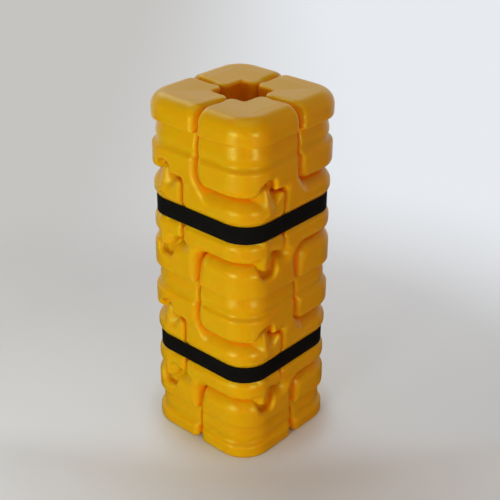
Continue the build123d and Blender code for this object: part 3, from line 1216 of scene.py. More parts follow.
@dataclass(frozen=True)
class WovenTape(Finish):
    """Matt woven webbing or tape whose yarns run along it."""

    pitch: float = 1.2
    depth: float = 0.25
    nap: float = 0.0
    nap_roughness: float = 0.5
    tone_scale: float = 40.0
    tone_share: float = 0.5
    fuzz_scale: float = 1800.0
    fuzz_fine: float = 0.6
    fuzz_band: Pair = (0.45, 0.85)
    # Share of the paler colour on the raised yarns: partly painted sheen, partly pale fuzz.
    ridge_sheen_and_fuzz_share: float = 0.35
    fuzz_height: float = 0.35
    ridge_roughness: float = -0.12
    specular: float = 0.12
    relief_strength: float = 0.8

    def material(self, effects: Effects) -> Material:
        """Material of the finish.

        Args:
            effects: The shared effects.

        Returns:
            A new material.
        """
        material, graph, shader = self.start()
        place = graph.attribute("tape_place", "Vector")
        weave = graph.effect(effects.weave, {"Place": place, "Pitch": self.pitch * MM})
        tone = graph.effect(effects.tone, {"Place": place, "Scale": self.tone_scale})
        fuzz = graph.effect(effects.grain, {"Place": place, "Scale": self.fuzz_scale, "Fine": self.fuzz_fine})
        colour = graph.mix(weave["Yarn"], self.colour, self.shade)
        colour = graph.mix(graph.math("MULTIPLY", tone["Clouds"], self.tone_share), colour, self.worn_and_sheen)
        # Paler on the raised yarns where the fuzz noise is high: partly a painted sheen on the ridges, partly
        # pale fuzz.
        ridge_sheen_and_fuzz = graph.math("MULTIPLY", weave["Height"], graph.span(fuzz["Height"], *self.fuzz_band))
        colour = graph.mix(graph.math("MULTIPLY", ridge_sheen_and_fuzz, self.ridge_sheen_and_fuzz_share), colour, self.worn_and_sheen)
        graph.feed(shader.inputs["Base Color"], colour)
        rough = graph.math("MULTIPLY_ADD", weave["Height"], self.ridge_roughness, self.roughness)
        graph.feed(shader.inputs["Roughness"], rough)
        shader.inputs["Specular IOR Level"].default_value = self.specular
        shader.inputs["Sheen Weight"].default_value = self.nap
        shader.inputs["Sheen Roughness"].default_value = self.nap_roughness
        height = graph.math("MULTIPLY_ADD", fuzz["Height"], self.fuzz_height, weave["Height"])
        self.relief(graph, shader, height, self.depth, self.relief_strength)
        return material


def make_mesh(name: str, points: Array, faces: Faces) -> Mesh:
    """Smooth mesh with outward faces.

    Args:
        name: Name of the mesh.
        points: Places in millimetres.
        faces: Point numbers of each face.

    Returns:
        The mesh in metres.
    """
    mesh = bpy.data.meshes.new(name)
    mesh.from_pydata((np.asarray(points) * MM).tolist(), [], faces)
    shape = bmesh.new()
    shape.from_mesh(mesh)
    bmesh.ops.recalc_face_normals(shape, faces=shape.faces)
    shape.to_mesh(mesh)
    shape.free()
    mesh.polygons.foreach_set("use_smooth", np.ones(len(faces), bool))
    mesh.update()
    return mesh


def ring_faces(rings: int, size: int) -> Faces:
    """Quads between rings of points that follow one another.

    Args:
        rings: How many rings there are.
        size: How many points each ring has.

    Returns:
        Point numbers of each quad.
    """
    faces: Faces = []
    for ring, turn in product(range(rings - 1), range(size)):
        here, there = ring * size, (ring + 1) * size
        after = (turn + 1) % size
        faces.append((here + turn, here + after, there + after, there + turn))
    return faces


def even_angles(count: int) -> Array:
    """Angles that part a full turn evenly."""
    return np.arange(count) * 2.0 * np.pi / count


def place_on(mesh: Mesh, name: str, values: Array) -> None:
    """Write one number or one vector for each point of a mesh.

    Args:
        mesh: The mesh.
        name: Name that the finishes read the values by.
        values: The numbers or vectors.
    """
    vector = values.ndim > 1
    layer = mesh.attributes.new(name, "FLOAT_VECTOR" if vector else "FLOAT", "POINT")
    layer.data.foreach_set("vector" if vector else "value", np.ascontiguousarray(values, np.float32).ravel())


def new_piece(name: str, mesh: Mesh) -> bpy.types.Object:
    """Put a piece into the scene.

    Args:
        name: Name of the piece.
        mesh: Its mesh.

    Returns:
        The new object.
    """
    piece = bpy.data.objects.new(name, mesh)
    bpy.context.scene.collection.objects.link(piece)
    LOG.info("built %s", name)
    return piece


@dataclass
class CornerModules:
    """The four equal moulded modules."""

    form: ModuleForm
    pieces: list[bpy.types.Object] = field(default_factory=list)

    def build(self) -> None:
        """Make one skin and stand it at the four corners."""
        mesh = SkinMesh(self.form).build("corner_module_skin")
        LOG.info("module skin: %d points, %d quads", len(mesh.vertices), len(mesh.polygons))
        for place in Place:
            piece = new_piece(f"module_{place.label}_skin", mesh)
            piece.rotation_euler = (0.0, 0.0, math.radians(place.value))
            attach(piece, ROOT_BODY)
            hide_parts(f"corner_module_{place.label}")
            self.pieces.append(piece)

    def dress(self, material: Material) -> None:
        """Give the shared skin its finish."""
        self.pieces[0].data.materials.append(material)


@dataclass
class VentPlugs:
    """The push-in plugs under the modules, which keep the shape of their solids."""

    places: tuple[Place, ...] = tuple(Place)

    def dress(self, material: Material) -> None:
        """Give each plug its finish.

        Args:
            material: The finish.
        """
        for place in self.places:
            name = f"vent_plug_{place.label}"
            frame["nodes"][name].material_slots[0].material = material
            LOG.info("dressed %s", name)


@dataclass(frozen=True)
class Route:
    """Points along the middle of a strap, seen from above, with their outward directions."""

    points: Array
    outward: Array

    @staticmethod
    def straight(start: Pair, end: Pair, outward: Pair, spacing: float) -> "Route":
        """Straight run between two points.

        Args:
            start: Where it starts.
            end: Where it ends.
            outward: Its outward direction.
            spacing: Longest distance between its points.

        Returns:
            The run.
        """
        count = max(2, math.ceil(math.dist(start, end) / spacing) + 1)
        points = np.linspace(start, end, count)
        return Route(points, np.tile(np.array(outward, float), (count, 1)))

    @staticmethod
    def bend(centre: Pair, radius: float, start: float, end: float, spacing: float) -> "Route":
        """Arc between two directions.

        Args:
            centre: Middle of the arc.
            radius: Its radius.
            start: Direction in degrees at which it starts.
            end: Direction in degrees at which it ends.
            spacing: Longest distance between its points.

        Returns:
            The arc.
        """
        count = max(3, math.ceil(math.radians(abs(end - start)) * radius / spacing) + 1)
        angles = np.radians(np.linspace(start, end, count))
        outward = np.stack([np.cos(angles), np.sin(angles)], axis=1)
        return Route(np.array(centre) + radius * outward, outward)

    def then(self, other: "Route") -> "Route":
        """This run with another one after it that starts where this one ends."""
        points = np.concatenate([self.points, other.points[1:]])
        return Route(points, np.concatenate([self.outward, other.outward[1:]]))


@dataclass
class Strap:
    """One strap round the modules, closed with hooks and loops on the back face."""

    level: Level
    corner_centre: float

    # webbing
    spacing: float = 2.5
    ribs: int = 8
    rib_depth: float = 0.16
    rib_points: int = 4
    edge_points: int = 5
    ramp_length: float = 9.0
    ramp_start: float = 63.3
    free_end: float = 49.0
    bend_reach: float = 5.0

    # loop pad, with heights as shares of its thickness
    pad_rim: float = 2.0
    pile_cell: float = 0.8
    pile_seed: int = 7
    pile_span: Pair = (0.72, 1.0)
    loop_rim: float = 0.4

    # hook pad, with the outline of a hook as shares of its height and radii
    ground_cell: float = 2.0
    ground_rim: float = 0.5
    hook_pitch: float = 2.4
    hook_height: float = 0.42
    hook_sides: int = 6
    hook_outline: Section = ((0.0, 0.30), (0.55, 0.26), (0.70, 0.55), (0.90, 0.42), (1.0, 0.0))

    # stitches
    stitch_pitch: float = 3.4
    stitch_length: float = 2.5
    stitch_width: float = 0.6
    stitch_inset: float = 2.2
    stitch_sides: int = 8
    stitch_rings: int = 5
    stitch_taper: float = 0.9

    woven: list[bpy.types.Object] = field(default_factory=list)
    pads: dict[str, bpy.types.Object] = field(default_factory=dict)

    def node(self, part: str) -> str:
        """Name of one of this strap's solids."""
        return f"strap_{self.level.value}_{part}"

    def corners(self, part: str) -> tuple[Array, Array]:
        """Lowest and highest corner of one of this strap's solids in millimetres."""
        low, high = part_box(self.node(part))
        return np.array(low) / MM, np.array(high) / MM

    @property
    def tail_body(self) -> str:
        """Body that the peeling end moves with."""
        return f"{self.level.value}_tail"

    @property
    def hinge(self) -> Vector:
        """Place in metres that the tail peels about."""
        joint = next(row for row in frame["joints"] if row["child"] == self.tail_body)
        return Vector(joint["pos_m"])

    def section(self, width: float, thickness: float) -> Array:
        """Cross-section of the webbing, ribbed on both faces.

        Args:
            width: Width of the webbing.
            thickness: Thickness of the webbing.

        Returns:
            Ring of places across and out from the middle.
        """
        half = thickness / 2
        flat = width / 2 - half
        across = np.linspace(flat, -flat, self.ribs * self.rib_points + 1)
        valley = 0.5 + 0.5 * np.cos(2.0 * np.pi * self.ribs * (across + flat) / (2.0 * flat))
        out = half - self.rib_depth * valley
        angles = np.linspace(0.5 * np.pi, 1.5 * np.pi, self.edge_points + 2)[1:-1]
        near_edge = np.stack([-flat + half * np.cos(angles), half * np.sin(angles)], axis=1)
        face = np.stack([across, out], axis=1)
        return np.concatenate([face, near_edge, -face, -near_edge])

    def webbing(self, name: str, route: Route, middle: float, size: Pair) -> Mesh:
        """Webbing swept along a route.

        Args:
            name: Name of the mesh.
            route: Where the middle of the webbing runs.
            middle: Height of the middle of the webbing.
            size: Width and thickness of the webbing.

        Returns:
            A closed mesh that knows the place along and across it.
        """
        ring = self.section(*size)
        shape = (len(route.points), len(ring))
        flat = route.points[:, None, :] + route.outward[:, None, :] * ring[None, :, 1:]
        rise = np.broadcast_to(middle + ring[None, :, :1], (*shape, 1))
        points = np.concatenate([flat, rise], axis=2).reshape(-1, 3)
        numbers = np.arange(len(points)).reshape(shape)
        ends = [tuple(numbers[0].tolist()), tuple(numbers[-1].tolist())]
        mesh = make_mesh(name, points, ring_faces(*shape) + ends)
        steps = np.linalg.norm(np.diff(route.points, axis=0), axis=1)
        length = np.concatenate([[0.0], np.cumsum(steps)])
        along = np.broadcast_to(length[:, None], shape)
        side = np.broadcast_to(ring[None, :, 0], shape)
        out = np.broadcast_to(ring[None, :, 1], shape)
        place_on(mesh, "tape_place", np.stack([along, side, out], axis=2).reshape(-1, 3) * MM)
        return mesh

    def band_route(self, depth: float) -> Route:
        """Way round the column from the foot of the ramp to the free end below the tail.

        Args:
            depth: Depth of the middle of the webbing.

        Returns:
            The route of the band.
        """
        centre, step = self.corner_centre, self.spacing
        outward = (0.0, 1.0)
        quarter = 90.0
        corner_places = ((centre, centre), (centre, -centre), (-centre, -centre), (-centre, centre))
        arcs = []
        for turn, corner in enumerate(corner_places):
            start = quarter * (1 - turn)
            arcs.append(Route.bend(corner, depth - centre, start, start - quarter, step))
        route = Route.straight((self.ramp_start, depth), (centre, depth), outward, step).then(arcs[0])
        for arc, following in zip(arcs, arcs[1:]):
            run = Route.straight(arc.points[-1], following.points[0], arc.outward[-1], step)
            route = route.then(run).then(following)
        return route.then(Route.straight(route.points[-1], (self.free_end, depth), outward, step))

    def flap_route(self, depth: float, tail_depth: float, tail_end: float) -> Route:
        """Way up the ramp and along the peeling tail.

        Args:
            depth: Depth of the middle of the band.
            tail_depth: Depth of the middle of the tail.
            tail_end: Place of the end of the tail.

        Returns:
            The route of the flap.
        """
        count = math.ceil((self.ramp_start - tail_end) / (self.spacing / 2)) + 1
        along = np.linspace(self.ramp_start, tail_end, count)
        lift = smoothstep(along, self.ramp_start, self.ramp_start - self.ramp_length)
        points = np.stack([along, depth + (tail_depth - depth) * lift], axis=1)
        slope = np.gradient(points[:, 1], along)
        outward = np.stack([-slope, np.ones_like(slope)], axis=1)
        return Route(points, outward / np.linalg.norm(outward, axis=1)[:, None])

    def build(self) -> None:
        """Make the band, the flap, the closing pads and their seams."""
        band_low, band_high = self.corners("band")
        tail_low, tail_high = self.corners("tail")
        thickness = tail_high[1] - tail_low[1]
        size = (band_high[2] - band_low[2], thickness)
        middle = (band_high[2] + band_low[2]) / 2
        depth = band_high[0] - thickness / 2
        tail_depth = (tail_low[1] + tail_high[1]) / 2

        name = self.node("webbing")
        mesh = self.webbing(name, self.band_route(depth), middle, size)
        band = new_piece(name, mesh)
        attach(band, ROOT_BODY)
        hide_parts(self.node("band"))

        name = self.node("flap")
        mesh = self.webbing(name, self.flap_route(depth, tail_depth, tail_low[0]), middle, size)
        flap = new_piece(name, mesh)
        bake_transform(flap)
        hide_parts(self.node("tail"))
        self.woven += [band, flap]

        self.build_loops()
        self.build_hooks()
        self.build_seam("loop_pad", ROOT_BODY, self.corners("loop_pad")[1][1])
        self.build_seam("hook_pad", self.tail_body, tail_high[1])

    def pad_mesh(self, name: str, low: Array, high: Array, face: Array) -> Mesh:
        """Thin pad with a shaped face and a plain back.

        Args:
            name: Name of the mesh.
            low: Lowest corner of the pad at its back.
            high: Highest corner of the pad at its back.
            face: Depth of the face at a grid of places along and up the pad.

        Returns:
            A closed mesh that knows the place along and across it.
        """
        columns, rows = face.shape
        along = np.broadcast_to(np.linspace(low[0], high[0], columns)[:, None], face.shape)
        up = np.broadcast_to(np.linspace(low[2], high[2], rows)[None, :], face.shape)
        back = np.full_like(face, low[1])
        front_points = np.stack([along, face, up], axis=2).reshape(-1, 3)
        back_points = np.stack([along, back, up], axis=2).reshape(-1, 3)
        offset = columns * rows
        faces: Faces = []
        for column, row in product(range(columns - 1), range(rows - 1)):
            corner = column * rows + row
            quad = (corner, corner + 1, corner + rows + 1, corner + rows)
            faces += [quad, tuple(offset + number for number in quad)]
        rim = [column * rows for column in range(columns)]
        rim += [(columns - 1) * rows + row for row in range(1, rows)]
        rim += [column * rows + rows - 1 for column in range(columns - 2, -1, -1)]
        rim += list(range(rows - 2, 0, -1))
        for here, there in zip(rim, rim[1:] + rim[:1]):
            faces.append((here, there, there + offset, here + offset))
        points = np.concatenate([front_points, back_points])
        mesh = make_mesh(name, points, faces)
        place_on(mesh, "tape_place", points[:, [0, 2, 1]] * MM)
        return mesh

    def pad_inside(self, low: Array, high: Array, cell: float) -> Array:
        """How far in from the rim of a pad the places of a grid over it are.

        Args:
            low: Lowest corner of the pad.
            high: Highest corner of the pad.
            cell: Distance between the places.

        Returns:
            Values along and up the pad, from 0 at its rim to 1 inside.
        """
        columns = round((high[0] - low[0]) / cell) + 1
        rows = round((high[2] - low[2]) / cell) + 1
        across = np.minimum(np.arange(columns), np.arange(columns)[::-1])[:, None]
        up = np.minimum(np.arange(rows), np.arange(rows)[::-1])[None, :]
        return smoothstep(np.minimum(across, up) * cell, 0.0, self.pad_rim)

    def build_loops(self) -> None:
        """Brushed loop pad on the band, with an uneven pile inside a flat rim."""
        low, high = self.corners("loop_pad")
        inside = self.pad_inside(low, high, self.pile_cell)
        pile = np.random.default_rng(self.pile_seed).uniform(*self.pile_span, inside.shape)
        face = low[1] + (high[1] - low[1]) * (self.loop_rim + inside * (pile - self.loop_rim))
        name = self.node("loops")
        pad = new_piece(name, self.pad_mesh(name, low, high, face))
        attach(pad, ROOT_BODY)
        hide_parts(self.node("loop_pad"))
        self.pads["loops"] = pad

    def build_hooks(self) -> None:
        """Hook pad under the tail: a woven ground with rows of mushroom hooks."""
        low, high = self.corners("hook_pad")
        ground = low[1] + self.hook_height
        back = np.array([low[0], high[1], low[2]])
        inside = self.pad_inside(low, high, self.ground_cell)
        face = high[1] - (high[1] - ground) * (self.ground_rim + (1.0 - self.ground_rim) * inside)
        name = self.node("hooks")
        pad = new_piece(name, self.pad_mesh(name, back, high, face))
        inset = self.stitch_inset + self.stitch_width
        along = np.arange(low[0] + inset, high[0] - inset, self.hook_pitch)
        up = np.arange(low[2] + inset, high[2] - inset, self.hook_pitch)
        spots = [(place, ground, rise, 0.0) for place, rise in product(along, up)]
        name = self.node("hook_field")
        hooks = new_piece(name, self.repeated(name, *self.hook(), spots))
        for piece in (pad, hooks):
            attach(piece, self.tail_body)
        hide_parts(self.node("hook_pad"))
        self.pads["hooks"] = pad
        self.pads["hook_field"] = hooks

    def hook(self) -> tuple[Array, Faces]:
        """One mushroom hook that points inwards.

        Returns:
            Its points about the middle of its foot, and its faces.
        """
        sides = self.hook_sides
        angles = even_angles(sides)
        circle = np.stack([np.cos(angles), np.zeros(sides), np.sin(angles)], axis=1)
        rings = []
        for share, radius in self.hook_outline[:-1]:
            rings.append(circle * radius - np.array([0.0, share * self.hook_height, 0.0]))
        tip = np.array([[0.0, -self.hook_outline[-1][0] * self.hook_height, 0.0]])
        points = np.concatenate(rings + [tip])
        last = (len(rings) - 1) * sides
        faces: Faces = [tuple(range(sides))]
        faces += ring_faces(len(rings), sides)
        faces += [(last + side, last + (side + 1) % sides, len(points) - 1) for side in range(sides)]
        return points, faces

    def stitch(self) -> tuple[Array, Faces]:
        """One stitch that lies along the strap.

        Returns:
            Its points about its middle, and its faces.
        """
        sides, rings = self.stitch_sides, self.stitch_rings
        angles = even_angles(sides)
        points = []
        for share in np.cos(np.linspace(np.pi, 0.0, rings + 2)[1:-1]):
            girth = math.sqrt(1.0 - share * share * self.stitch_taper) * self.stitch_width / 2
            along = np.full(sides, share * self.stitch_length / 2)
            points.append(np.stack([along, girth * np.cos(angles), girth * np.sin(angles)], axis=1))
        faces: Faces = [tuple(range(sides)), tuple(range((rings - 1) * sides, rings * sides))]
        return np.concatenate(points), faces + ring_faces(rings, sides)

    @staticmethod
    def repeated(name: str, points: Array, faces: Faces, spots: Spots) -> Mesh:
        """One mesh of many equal small shapes.

        Args:
            name: Name of the mesh.
            points: Points of the shape about its own middle.
            faces: Faces of the shape.
            spots: Place of each copy, with its turn in the plane of the strap in degrees.

        Returns:
            The mesh of all copies.
        """
        all_points: list[Array] = []
        all_faces: Faces = []
        for number, (along, depth, up, turn) in enumerate(spots):
            angle = math.radians(turn)
            turned = points.copy()
            turned[:, 0] = points[:, 0] * math.cos(angle) - points[:, 2] * math.sin(angle)
            turned[:, 2] = points[:, 0] * math.sin(angle) + points[:, 2] * math.cos(angle)
            all_points.append(turned + np.array([along, depth, up]))
            start = number * len(points)
            all_faces += [tuple(start + corner for corner in face) for face in faces]
        joined_points = np.concatenate(all_points)
        mesh = make_mesh(name, joined_points, all_faces)
        place_on(mesh, "tape_place", joined_points[:, [0, 2, 1]] * MM)
        return mesh

    def build_seam(self, part: str, body: str, depth: float) -> None:
        """Stitches round a pad, sunk half into a face.

        Args:
            part: The pad that they hold.
            body: Body that they move with.
            depth: Depth of the face.
        """
        low, high = self.corners(part)
        left, right = low[0] + self.stitch_inset, high[0] - self.stitch_inset
        bottom, top = low[2] + self.stitch_inset, high[2] - self.stitch_inset
        spots: Spots = []
        for along in np.arange(left + self.stitch_pitch / 2, right, self.stitch_pitch):
            spots += [(along, depth, bottom, 0.0), (along, depth, top, 0.0)]
        for up in np.arange(bottom + self.stitch_pitch / 2, top, self.stitch_pitch):
            spots += [(left, depth, up, 90.0), (right, depth, up, 90.0)]
        name = self.node(f"{part}_stitches")
        seam = new_piece(name, self.repeated(name, *self.stitch(), spots))
        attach(seam, body)
        self.woven.append(seam)

    def dress(self, webbing: Material, hooks: Material, loops: Material) -> None:
        """Give the woven pieces and the pads their finishes.

        Args:
            webbing: Finish of the band, the flap and the stitches.
            hooks: Finish of the hook pad.
            loops: Finish of the loop pad.
        """
        for piece in self.woven:
            piece.data.materials.append(webbing)
        self.pads["loops"].data.materials.append(loops)
        for name in ("hooks", "hook_field"):
            self.pads[name].data.materials.append(hooks)


@dataclass(frozen=True)
class Lamp:
    """Soft lamp that faces the protector.

    The size is its width and its height. A lamp may only light the scene, or only show in reflections.
    """

    name: str
    azimuth: float
    height: float
    distance: float
    size: Pair
    power: float
    colour: Triple
    lights: bool = True
    mirrored: bool = True

    def build(self, target_height: float) -> None:
        """Hang the lamp, with its azimuth counted as the camera's.

        Args:
            target_height: Height that it points at.
        """
        turn = math.radians(self.azimuth)
        data = bpy.data.lights.new(self.name, "AREA")
        data.shape = "RECTANGLE"
        data.size = self.size[0] * MM
        data.size_y = self.size[1] * MM
        data.energy = self.power
        data.color = self.colour
        lamp = bpy.data.objects.new(self.name, data)
        place = Vector((math.sin(turn) * self.distance, -math.cos(turn) * self.distance, self.height))
        lamp.location = place * MM
        aim = Vector((0.0, 0.0, target_height)) - place
        lamp.rotation_euler = aim.to_track_quat("-Z", "Y").to_euler()
        lamp.visible_diffuse = self.lights
        lamp.visible_glossy = self.mirrored
        bpy.context.scene.collection.objects.link(lamp)


@dataclass
class Studio:
    """Floor, surroundings, lamps and camera as in the photograph.

    A reach holds the two distances in metres, or the two shares of a direction, between which one colour
    goes over into another.
    """

    # camera
    azimuth: float = 41.4
    elevation: float = 28.27
    distance: float = 1758.0
    roll: float = 0.51
    lens: float = 75.5
    sensor: float = 36.0
    target_right: float = 13.24
    target_height: float = 326.7
    view_depth: float = 100.0

    # floor and backdrop
    floor_side: float = 9.0
    floor_colour: Colour = (0.82, 0.89, 0.95, 1.0)
    floor_shade: Colour = (0.78, 0.85, 0.91, 1.0)
    floor_roughness: float = 0.75
    floor_tone_scale: float = 1.5
    # Camera-only floor colours that paint the light falloff: near the protector paler on the left and darker
    # on the right, far off darker on the left and paler on the right.
    far_left: Colour = (0.56, 0.55, 0.535, 1.0)
    far_right: Colour = (0.80, 0.825, 0.86, 1.0)
    near_left: Colour = (0.83, 0.85, 0.85, 1.0)
    near_right: Colour = (0.62, 0.66, 0.68, 1.0)
    side_reach: Pair = (-0.5, 0.4)
    far_reach: Pair = (-0.1, 0.6)
    horizon: Colour = (0.70, 0.71, 0.72, 1.0)
    horizon_reach: Pair = (3.0, 6.0)
    backdrop_reach: Pair = (0.1, 1.1)
    near_share: float = 0.42
    near_reach: Pair = (-0.22, -0.05)
    contact_reach: Pair = (0.12, 0.19)
    open_share: float = 0.18
    open_reach: Pair = (0.22, 0.36)

    # light from all round and what the gloss mirrors
    ambient: Colour = (0.18, 0.125, 0.09, 1.0)
    mirrored_front: Colour = (0.05, 0.045, 0.02, 1.0)
    mirrored_back: Colour = (0.80, 0.80, 0.82, 1.0)
    mirrored_reach: Pair = (-0.2, 0.6)
    mirrored_rise: Pair = (0.72, 0.5)
    mirrored_floor_reach: Pair = (0.0, 1.5)
    lamps: tuple[Lamp, ...] = (
        Lamp("left_softbox", azimuth=9.0, height=420.0, distance=1500.0, size=(400.0, 850.0),
             power=9.2, colour=(0.95, 1.0, 0.95), mirrored=False),
        Lamp("left_glint", azimuth=2.0, height=490.0, distance=1500.0, size=(400.0, 850.0),
             power=9.2, colour=(0.95, 1.0, 0.95), lights=False),
        Lamp("right_softbox", azimuth=71.0, height=490.0, distance=1700.0, size=(260.0, 600.0),
             power=4.5, colour=(1.0, 0.37, 0.09), mirrored=False),
        Lamp("right_glint", azimuth=71.0, height=490.0, distance=1700.0, size=(260.0, 600.0),
             power=8.0, colour=(1.0, 1.0, 0.95), lights=False),
        Lamp("top_softbox", azimuth=41.4, height=2300.0, distance=250.0, size=(1800.0, 1800.0),
             power=8.2, colour=(1.0, 0.99, 0.97)),
        Lamp("back_softbox", azimuth=255.0, height=1700.0, distance=1300.0, size=(900.0, 900.0),
             power=5.7, colour=(1.0, 0.99, 0.97)),
        Lamp("rear_fill", azimuth=221.4, height=350.0, distance=1700.0, size=(700.0, 600.0),
             power=8.0, colour=(1.0, 0.99, 0.97), mirrored=False),
    )

    @property
    def away(self) -> Vector:
        """Level direction that the camera looks in."""
        turn = math.radians(self.azimuth)
        return Vector((-math.sin(turn), math.cos(turn), 0.0))

    @property
    def right(self) -> Vector:
        """Level direction to the right of the camera."""
        turn = math.radians(self.azimuth)
        return Vector((math.cos(turn), math.sin(turn), 0.0))

    def camera(self) -> None:
        """Place the camera from its measured distance and angles."""
        rise = math.radians(self.elevation)
        back = Vector((0.0, 0.0, math.sin(rise))) - self.away * math.cos(rise)
        target = self.right * self.target_right + Vector((0.0, 0.0, self.target_height))
        data = bpy.data.cameras.new("camera")
        data.lens = self.lens
        data.sensor_width = self.sensor
        data.clip_end = self.view_depth
        camera = bpy.data.objects.new("camera", data)
        camera.location = (target + back * self.distance) * MM
        level_view = back.to_track_quat("Z", "Y").to_matrix().to_4x4()
        tilt = level_view @ Matrix.Rotation(math.radians(self.roll), 4, "Z")
        camera.rotation_euler = tilt.to_euler()
        bpy.context.scene.collection.objects.link(camera)
        bpy.context.scene.camera = camera

    @staticmethod
    def share_along(graph: Graph, place: Socket, direction: Vector, reach: Pair) -> Socket:
        """Soft step of a place's distance along a direction.

        Args:
            graph: Graph that the step goes into.
            place: The place.
            direction: The direction.
            reach: Distances at which the step leaves 0 and reaches 1.

        Returns:
            The height of the step.
        """
        along = graph.node("VectorMath", {0: place, 1: direction}, operation="DOT_PRODUCT")
        return graph.span(along.outputs["Value"], *reach)

    def surroundings(self) -> None:
        """Even light all round, with a pale background for the camera and a dark front for reflections."""
        world = bpy.data.worlds.new("studio")
        bpy.context.scene.world = world
        world.use_nodes = True
        graph = Graph(world.node_tree)
        path = graph.node("LightPath").outputs
        direction = graph.node("TexCoord").outputs["Generated"]
        behind = self.share_along(graph, direction, self.away, self.mirrored_reach)
        low = self.share_along(graph, direction, Vector((0.0, 0.0, 1.0)), self.mirrored_rise)
        behind = graph.math("MULTIPLY", behind, low)
        mirrored = graph.mix(behind, self.mirrored_front, self.mirrored_back)
        colour = graph.mix(path["Is Glossy Ray"], self.ambient, mirrored)
        colour = graph.mix(path["Is Transmission Ray"], colour, mirrored)
        colour = graph.mix(path["Is Camera Ray"], colour, self.horizon)
        graph.feed(world.node_tree.nodes["Background"].inputs["Color"], colour)

    def backdrop(self, graph: Graph, place: Socket) -> Socket:
        """Colours of the floor where it stands in for the backdrop.

        Args:
            graph: Graph that they go into.
            place: Place on the floor.

        Returns:
            Colour that goes over from left to right, from near to far and into the horizon.
        """
        # The changes from left to right and from near to far are painted light falloff.
        across = self.share_along(graph, place, self.right, self.side_reach)
        far = self.share_along(graph, place, self.away, self.far_reach)
        near_colour = graph.mix(across, self.near_left, self.near_right)
        far_colour = graph.mix(across, self.far_left, self.far_right)
        reach = graph.node("VectorMath", {0: place}, operation="LENGTH").outputs["Value"]
        pale = graph.mix(far, near_colour, far_colour)
        return graph.mix(graph.span(reach, *self.horizon_reach), pale, self.horizon)

    def backdrop_share(self, graph: Graph, place: Socket) -> Socket:
        """How far the floor stands in for the backdrop, less near the protector, where it takes the shadow.

        Args:
            graph: Graph that the share goes into.
            place: Place on the floor.

        Returns:
            Share from 0 to 1.
        """
        reach = graph.node("VectorMath", {0: place}, operation="LENGTH").outputs["Value"]
        beside = self.share_along(graph, place, self.away, self.near_reach)
        beside = graph.math("MULTIPLY", beside, self.near_share)
        beside = graph.math("MULTIPLY", beside, graph.span(reach, *self.contact_reach))
        beside = graph.math("MAXIMUM", beside, graph.span(reach, *self.open_reach, end=self.open_share))
        return graph.math("MAXIMUM", beside, graph.span(reach, *self.backdrop_reach))

    def floor(self, effects: Effects) -> None:
        """Large pale floor that takes the shadow near the protector and goes over into a pale backdrop.

        Args:
            effects: The shared effects.
        """
        side = self.floor_side
        mesh = bpy.data.meshes.new("floor")
        corners = [(-side, -side, 0.0), (side, -side, 0.0), (side, side, 0.0), (-side, side, 0.0)]
        mesh.from_pydata(corners, [], [(0, 1, 2, 3)])
        floor = bpy.data.objects.new("floor", mesh)
        bpy.context.scene.collection.objects.link(floor)
        material = bpy.data.materials.new("studio_floor")
        material.use_nodes = True
        graph = Graph(material.node_tree)
        shader = material.node_tree.nodes["Principled BSDF"]
        place = graph.node("TexCoord").outputs["Object"]
        tone = graph.effect(effects.tone, {"Place": place, "Scale": self.floor_tone_scale})
        colour = graph.mix(tone["Clouds"], self.floor_colour, self.floor_shade)
        graph.feed(shader.inputs["Base Color"], colour)
        shader.inputs["Roughness"].default_value = self.floor_roughness
        path = graph.node("LightPath").outputs
        # For reflections the floor shows a painted reflection colour, dark in front of the protector and pale
        # behind it, instead of its own shading.
        mirror_ray = graph.math("MAXIMUM", path["Is Glossy Ray"], path["Is Transmission Ray"])
        behind = self.share_along(graph, place, self.away, self.mirrored_floor_reach)
        mirrored = graph.mix(behind, self.mirrored_front, self.mirrored_back)
        glow = graph.node("Emission", {"Color": graph.mix(mirror_ray, self.backdrop(graph, place), mirrored)})
        seen = graph.math("MULTIPLY", path["Is Camera Ray"], self.backdrop_share(graph, place))
        share = graph.math("MAXIMUM", mirror_ray, seen)
        both = graph.node("MixShader", {0: share, 1: shader.outputs["BSDF"], 2: glow.outputs["Emission"]})
        graph.feed(material.node_tree.nodes["Material Output"].inputs["Surface"], both.outputs["Shader"])
        mesh.materials.append(material)

    def build(self, effects: Effects) -> None:
        """Set up everything that isn't part of the protector.

        Args:
            effects: The shared effects.
        """
        bpy.context.scene.view_settings.view_transform = "Standard"
        self.camera()
        self.surroundings()
        self.floor(effects)
        for lamp in self.lamps:
            lamp.build(self.target_height)


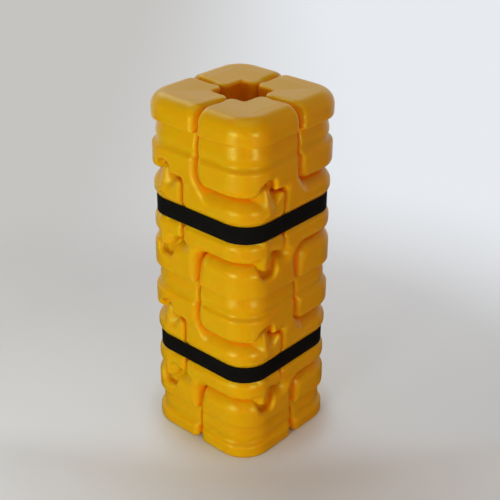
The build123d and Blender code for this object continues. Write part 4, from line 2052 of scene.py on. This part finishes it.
YELLOW_RESIN = MouldedResin(
    name="yellow_resin",
    colour=(0.84, 0.485, 0.001, 1.0),
    shade=(0.82, 0.46, 0.001, 1.0),
    worn_and_sheen=(0.86, 0.52, 0.01, 1.0),
    # painted shade and bounce glow in the gaps
    painted_gap_shade_and_glow=(0.98, 0.37, 0.001, 1.0),
    tint=(0.55, 0.92, 0.24, 1.0),
    roughness=0.30,
)
PLUG_RESIN = MouldedResin(
    name="plug_resin",
    colour=(0.66, 0.34, 0.004, 1.0),
    shade=(0.60, 0.30, 0.003, 1.0),
    worn_and_sheen=(0.72, 0.44, 0.06, 1.0),
    # painted shade in the gaps
    painted_gap_shade_and_glow=(0.50, 0.15, 0.001, 1.0),
    tint=(1.0, 0.95, 0.7, 1.0),
    roughness=0.5,
)
BLACK_WEBBING = WovenTape(
    name="black_webbing",
    colour=(0.0022, 0.0021, 0.0018, 1.0),
    shade=(0.0034, 0.0032, 0.0028, 1.0),
    worn_and_sheen=(0.006, 0.0058, 0.0052, 1.0),
    roughness=0.85,
)
BLACK_HOOK_TAPE = WovenTape(
    name="black_hook_tape",
    colour=(0.006, 0.006, 0.006, 1.0),
    shade=(0.009, 0.009, 0.009, 1.0),
    worn_and_sheen=(0.016, 0.016, 0.016, 1.0),
    roughness=0.55,
    pitch=0.8,
    depth=0.15,
)
BLACK_LOOP_TAPE = WovenTape(
    name="black_loop_tape",
    colour=(0.008, 0.008, 0.008, 1.0),
    shade=(0.012, 0.012, 0.012, 1.0),
    worn_and_sheen=(0.022, 0.022, 0.022, 1.0),
    roughness=0.95,
    pitch=0.9,
    depth=0.4,
    nap=0.15,
)


def main() -> None:
    """Build the sub-assemblies in order and report each piece."""
    logging.basicConfig(level=logging.INFO, format="%(message)s")
    effects = Effects()
    form = ModuleForm(half_width=CAD_BOX[1].x / MM, height=CAD_BOX[1].z / MM)

    modules = CornerModules(form)
    modules.build()
    modules.dress(YELLOW_RESIN.material(effects))
    VentPlugs().dress(PLUG_RESIN.material(effects))
    webbing = BLACK_WEBBING.material(effects)
    hook_tape = BLACK_HOOK_TAPE.material(effects)
    loop_tape = BLACK_LOOP_TAPE.material(effects)
    for level in Level:
        strap = Strap(level, form.corner_centre)
        strap.build()
        strap.dress(webbing, hook_tape, loop_tape)
    Studio().build(effects)


if __name__ == "__main__":
    main()
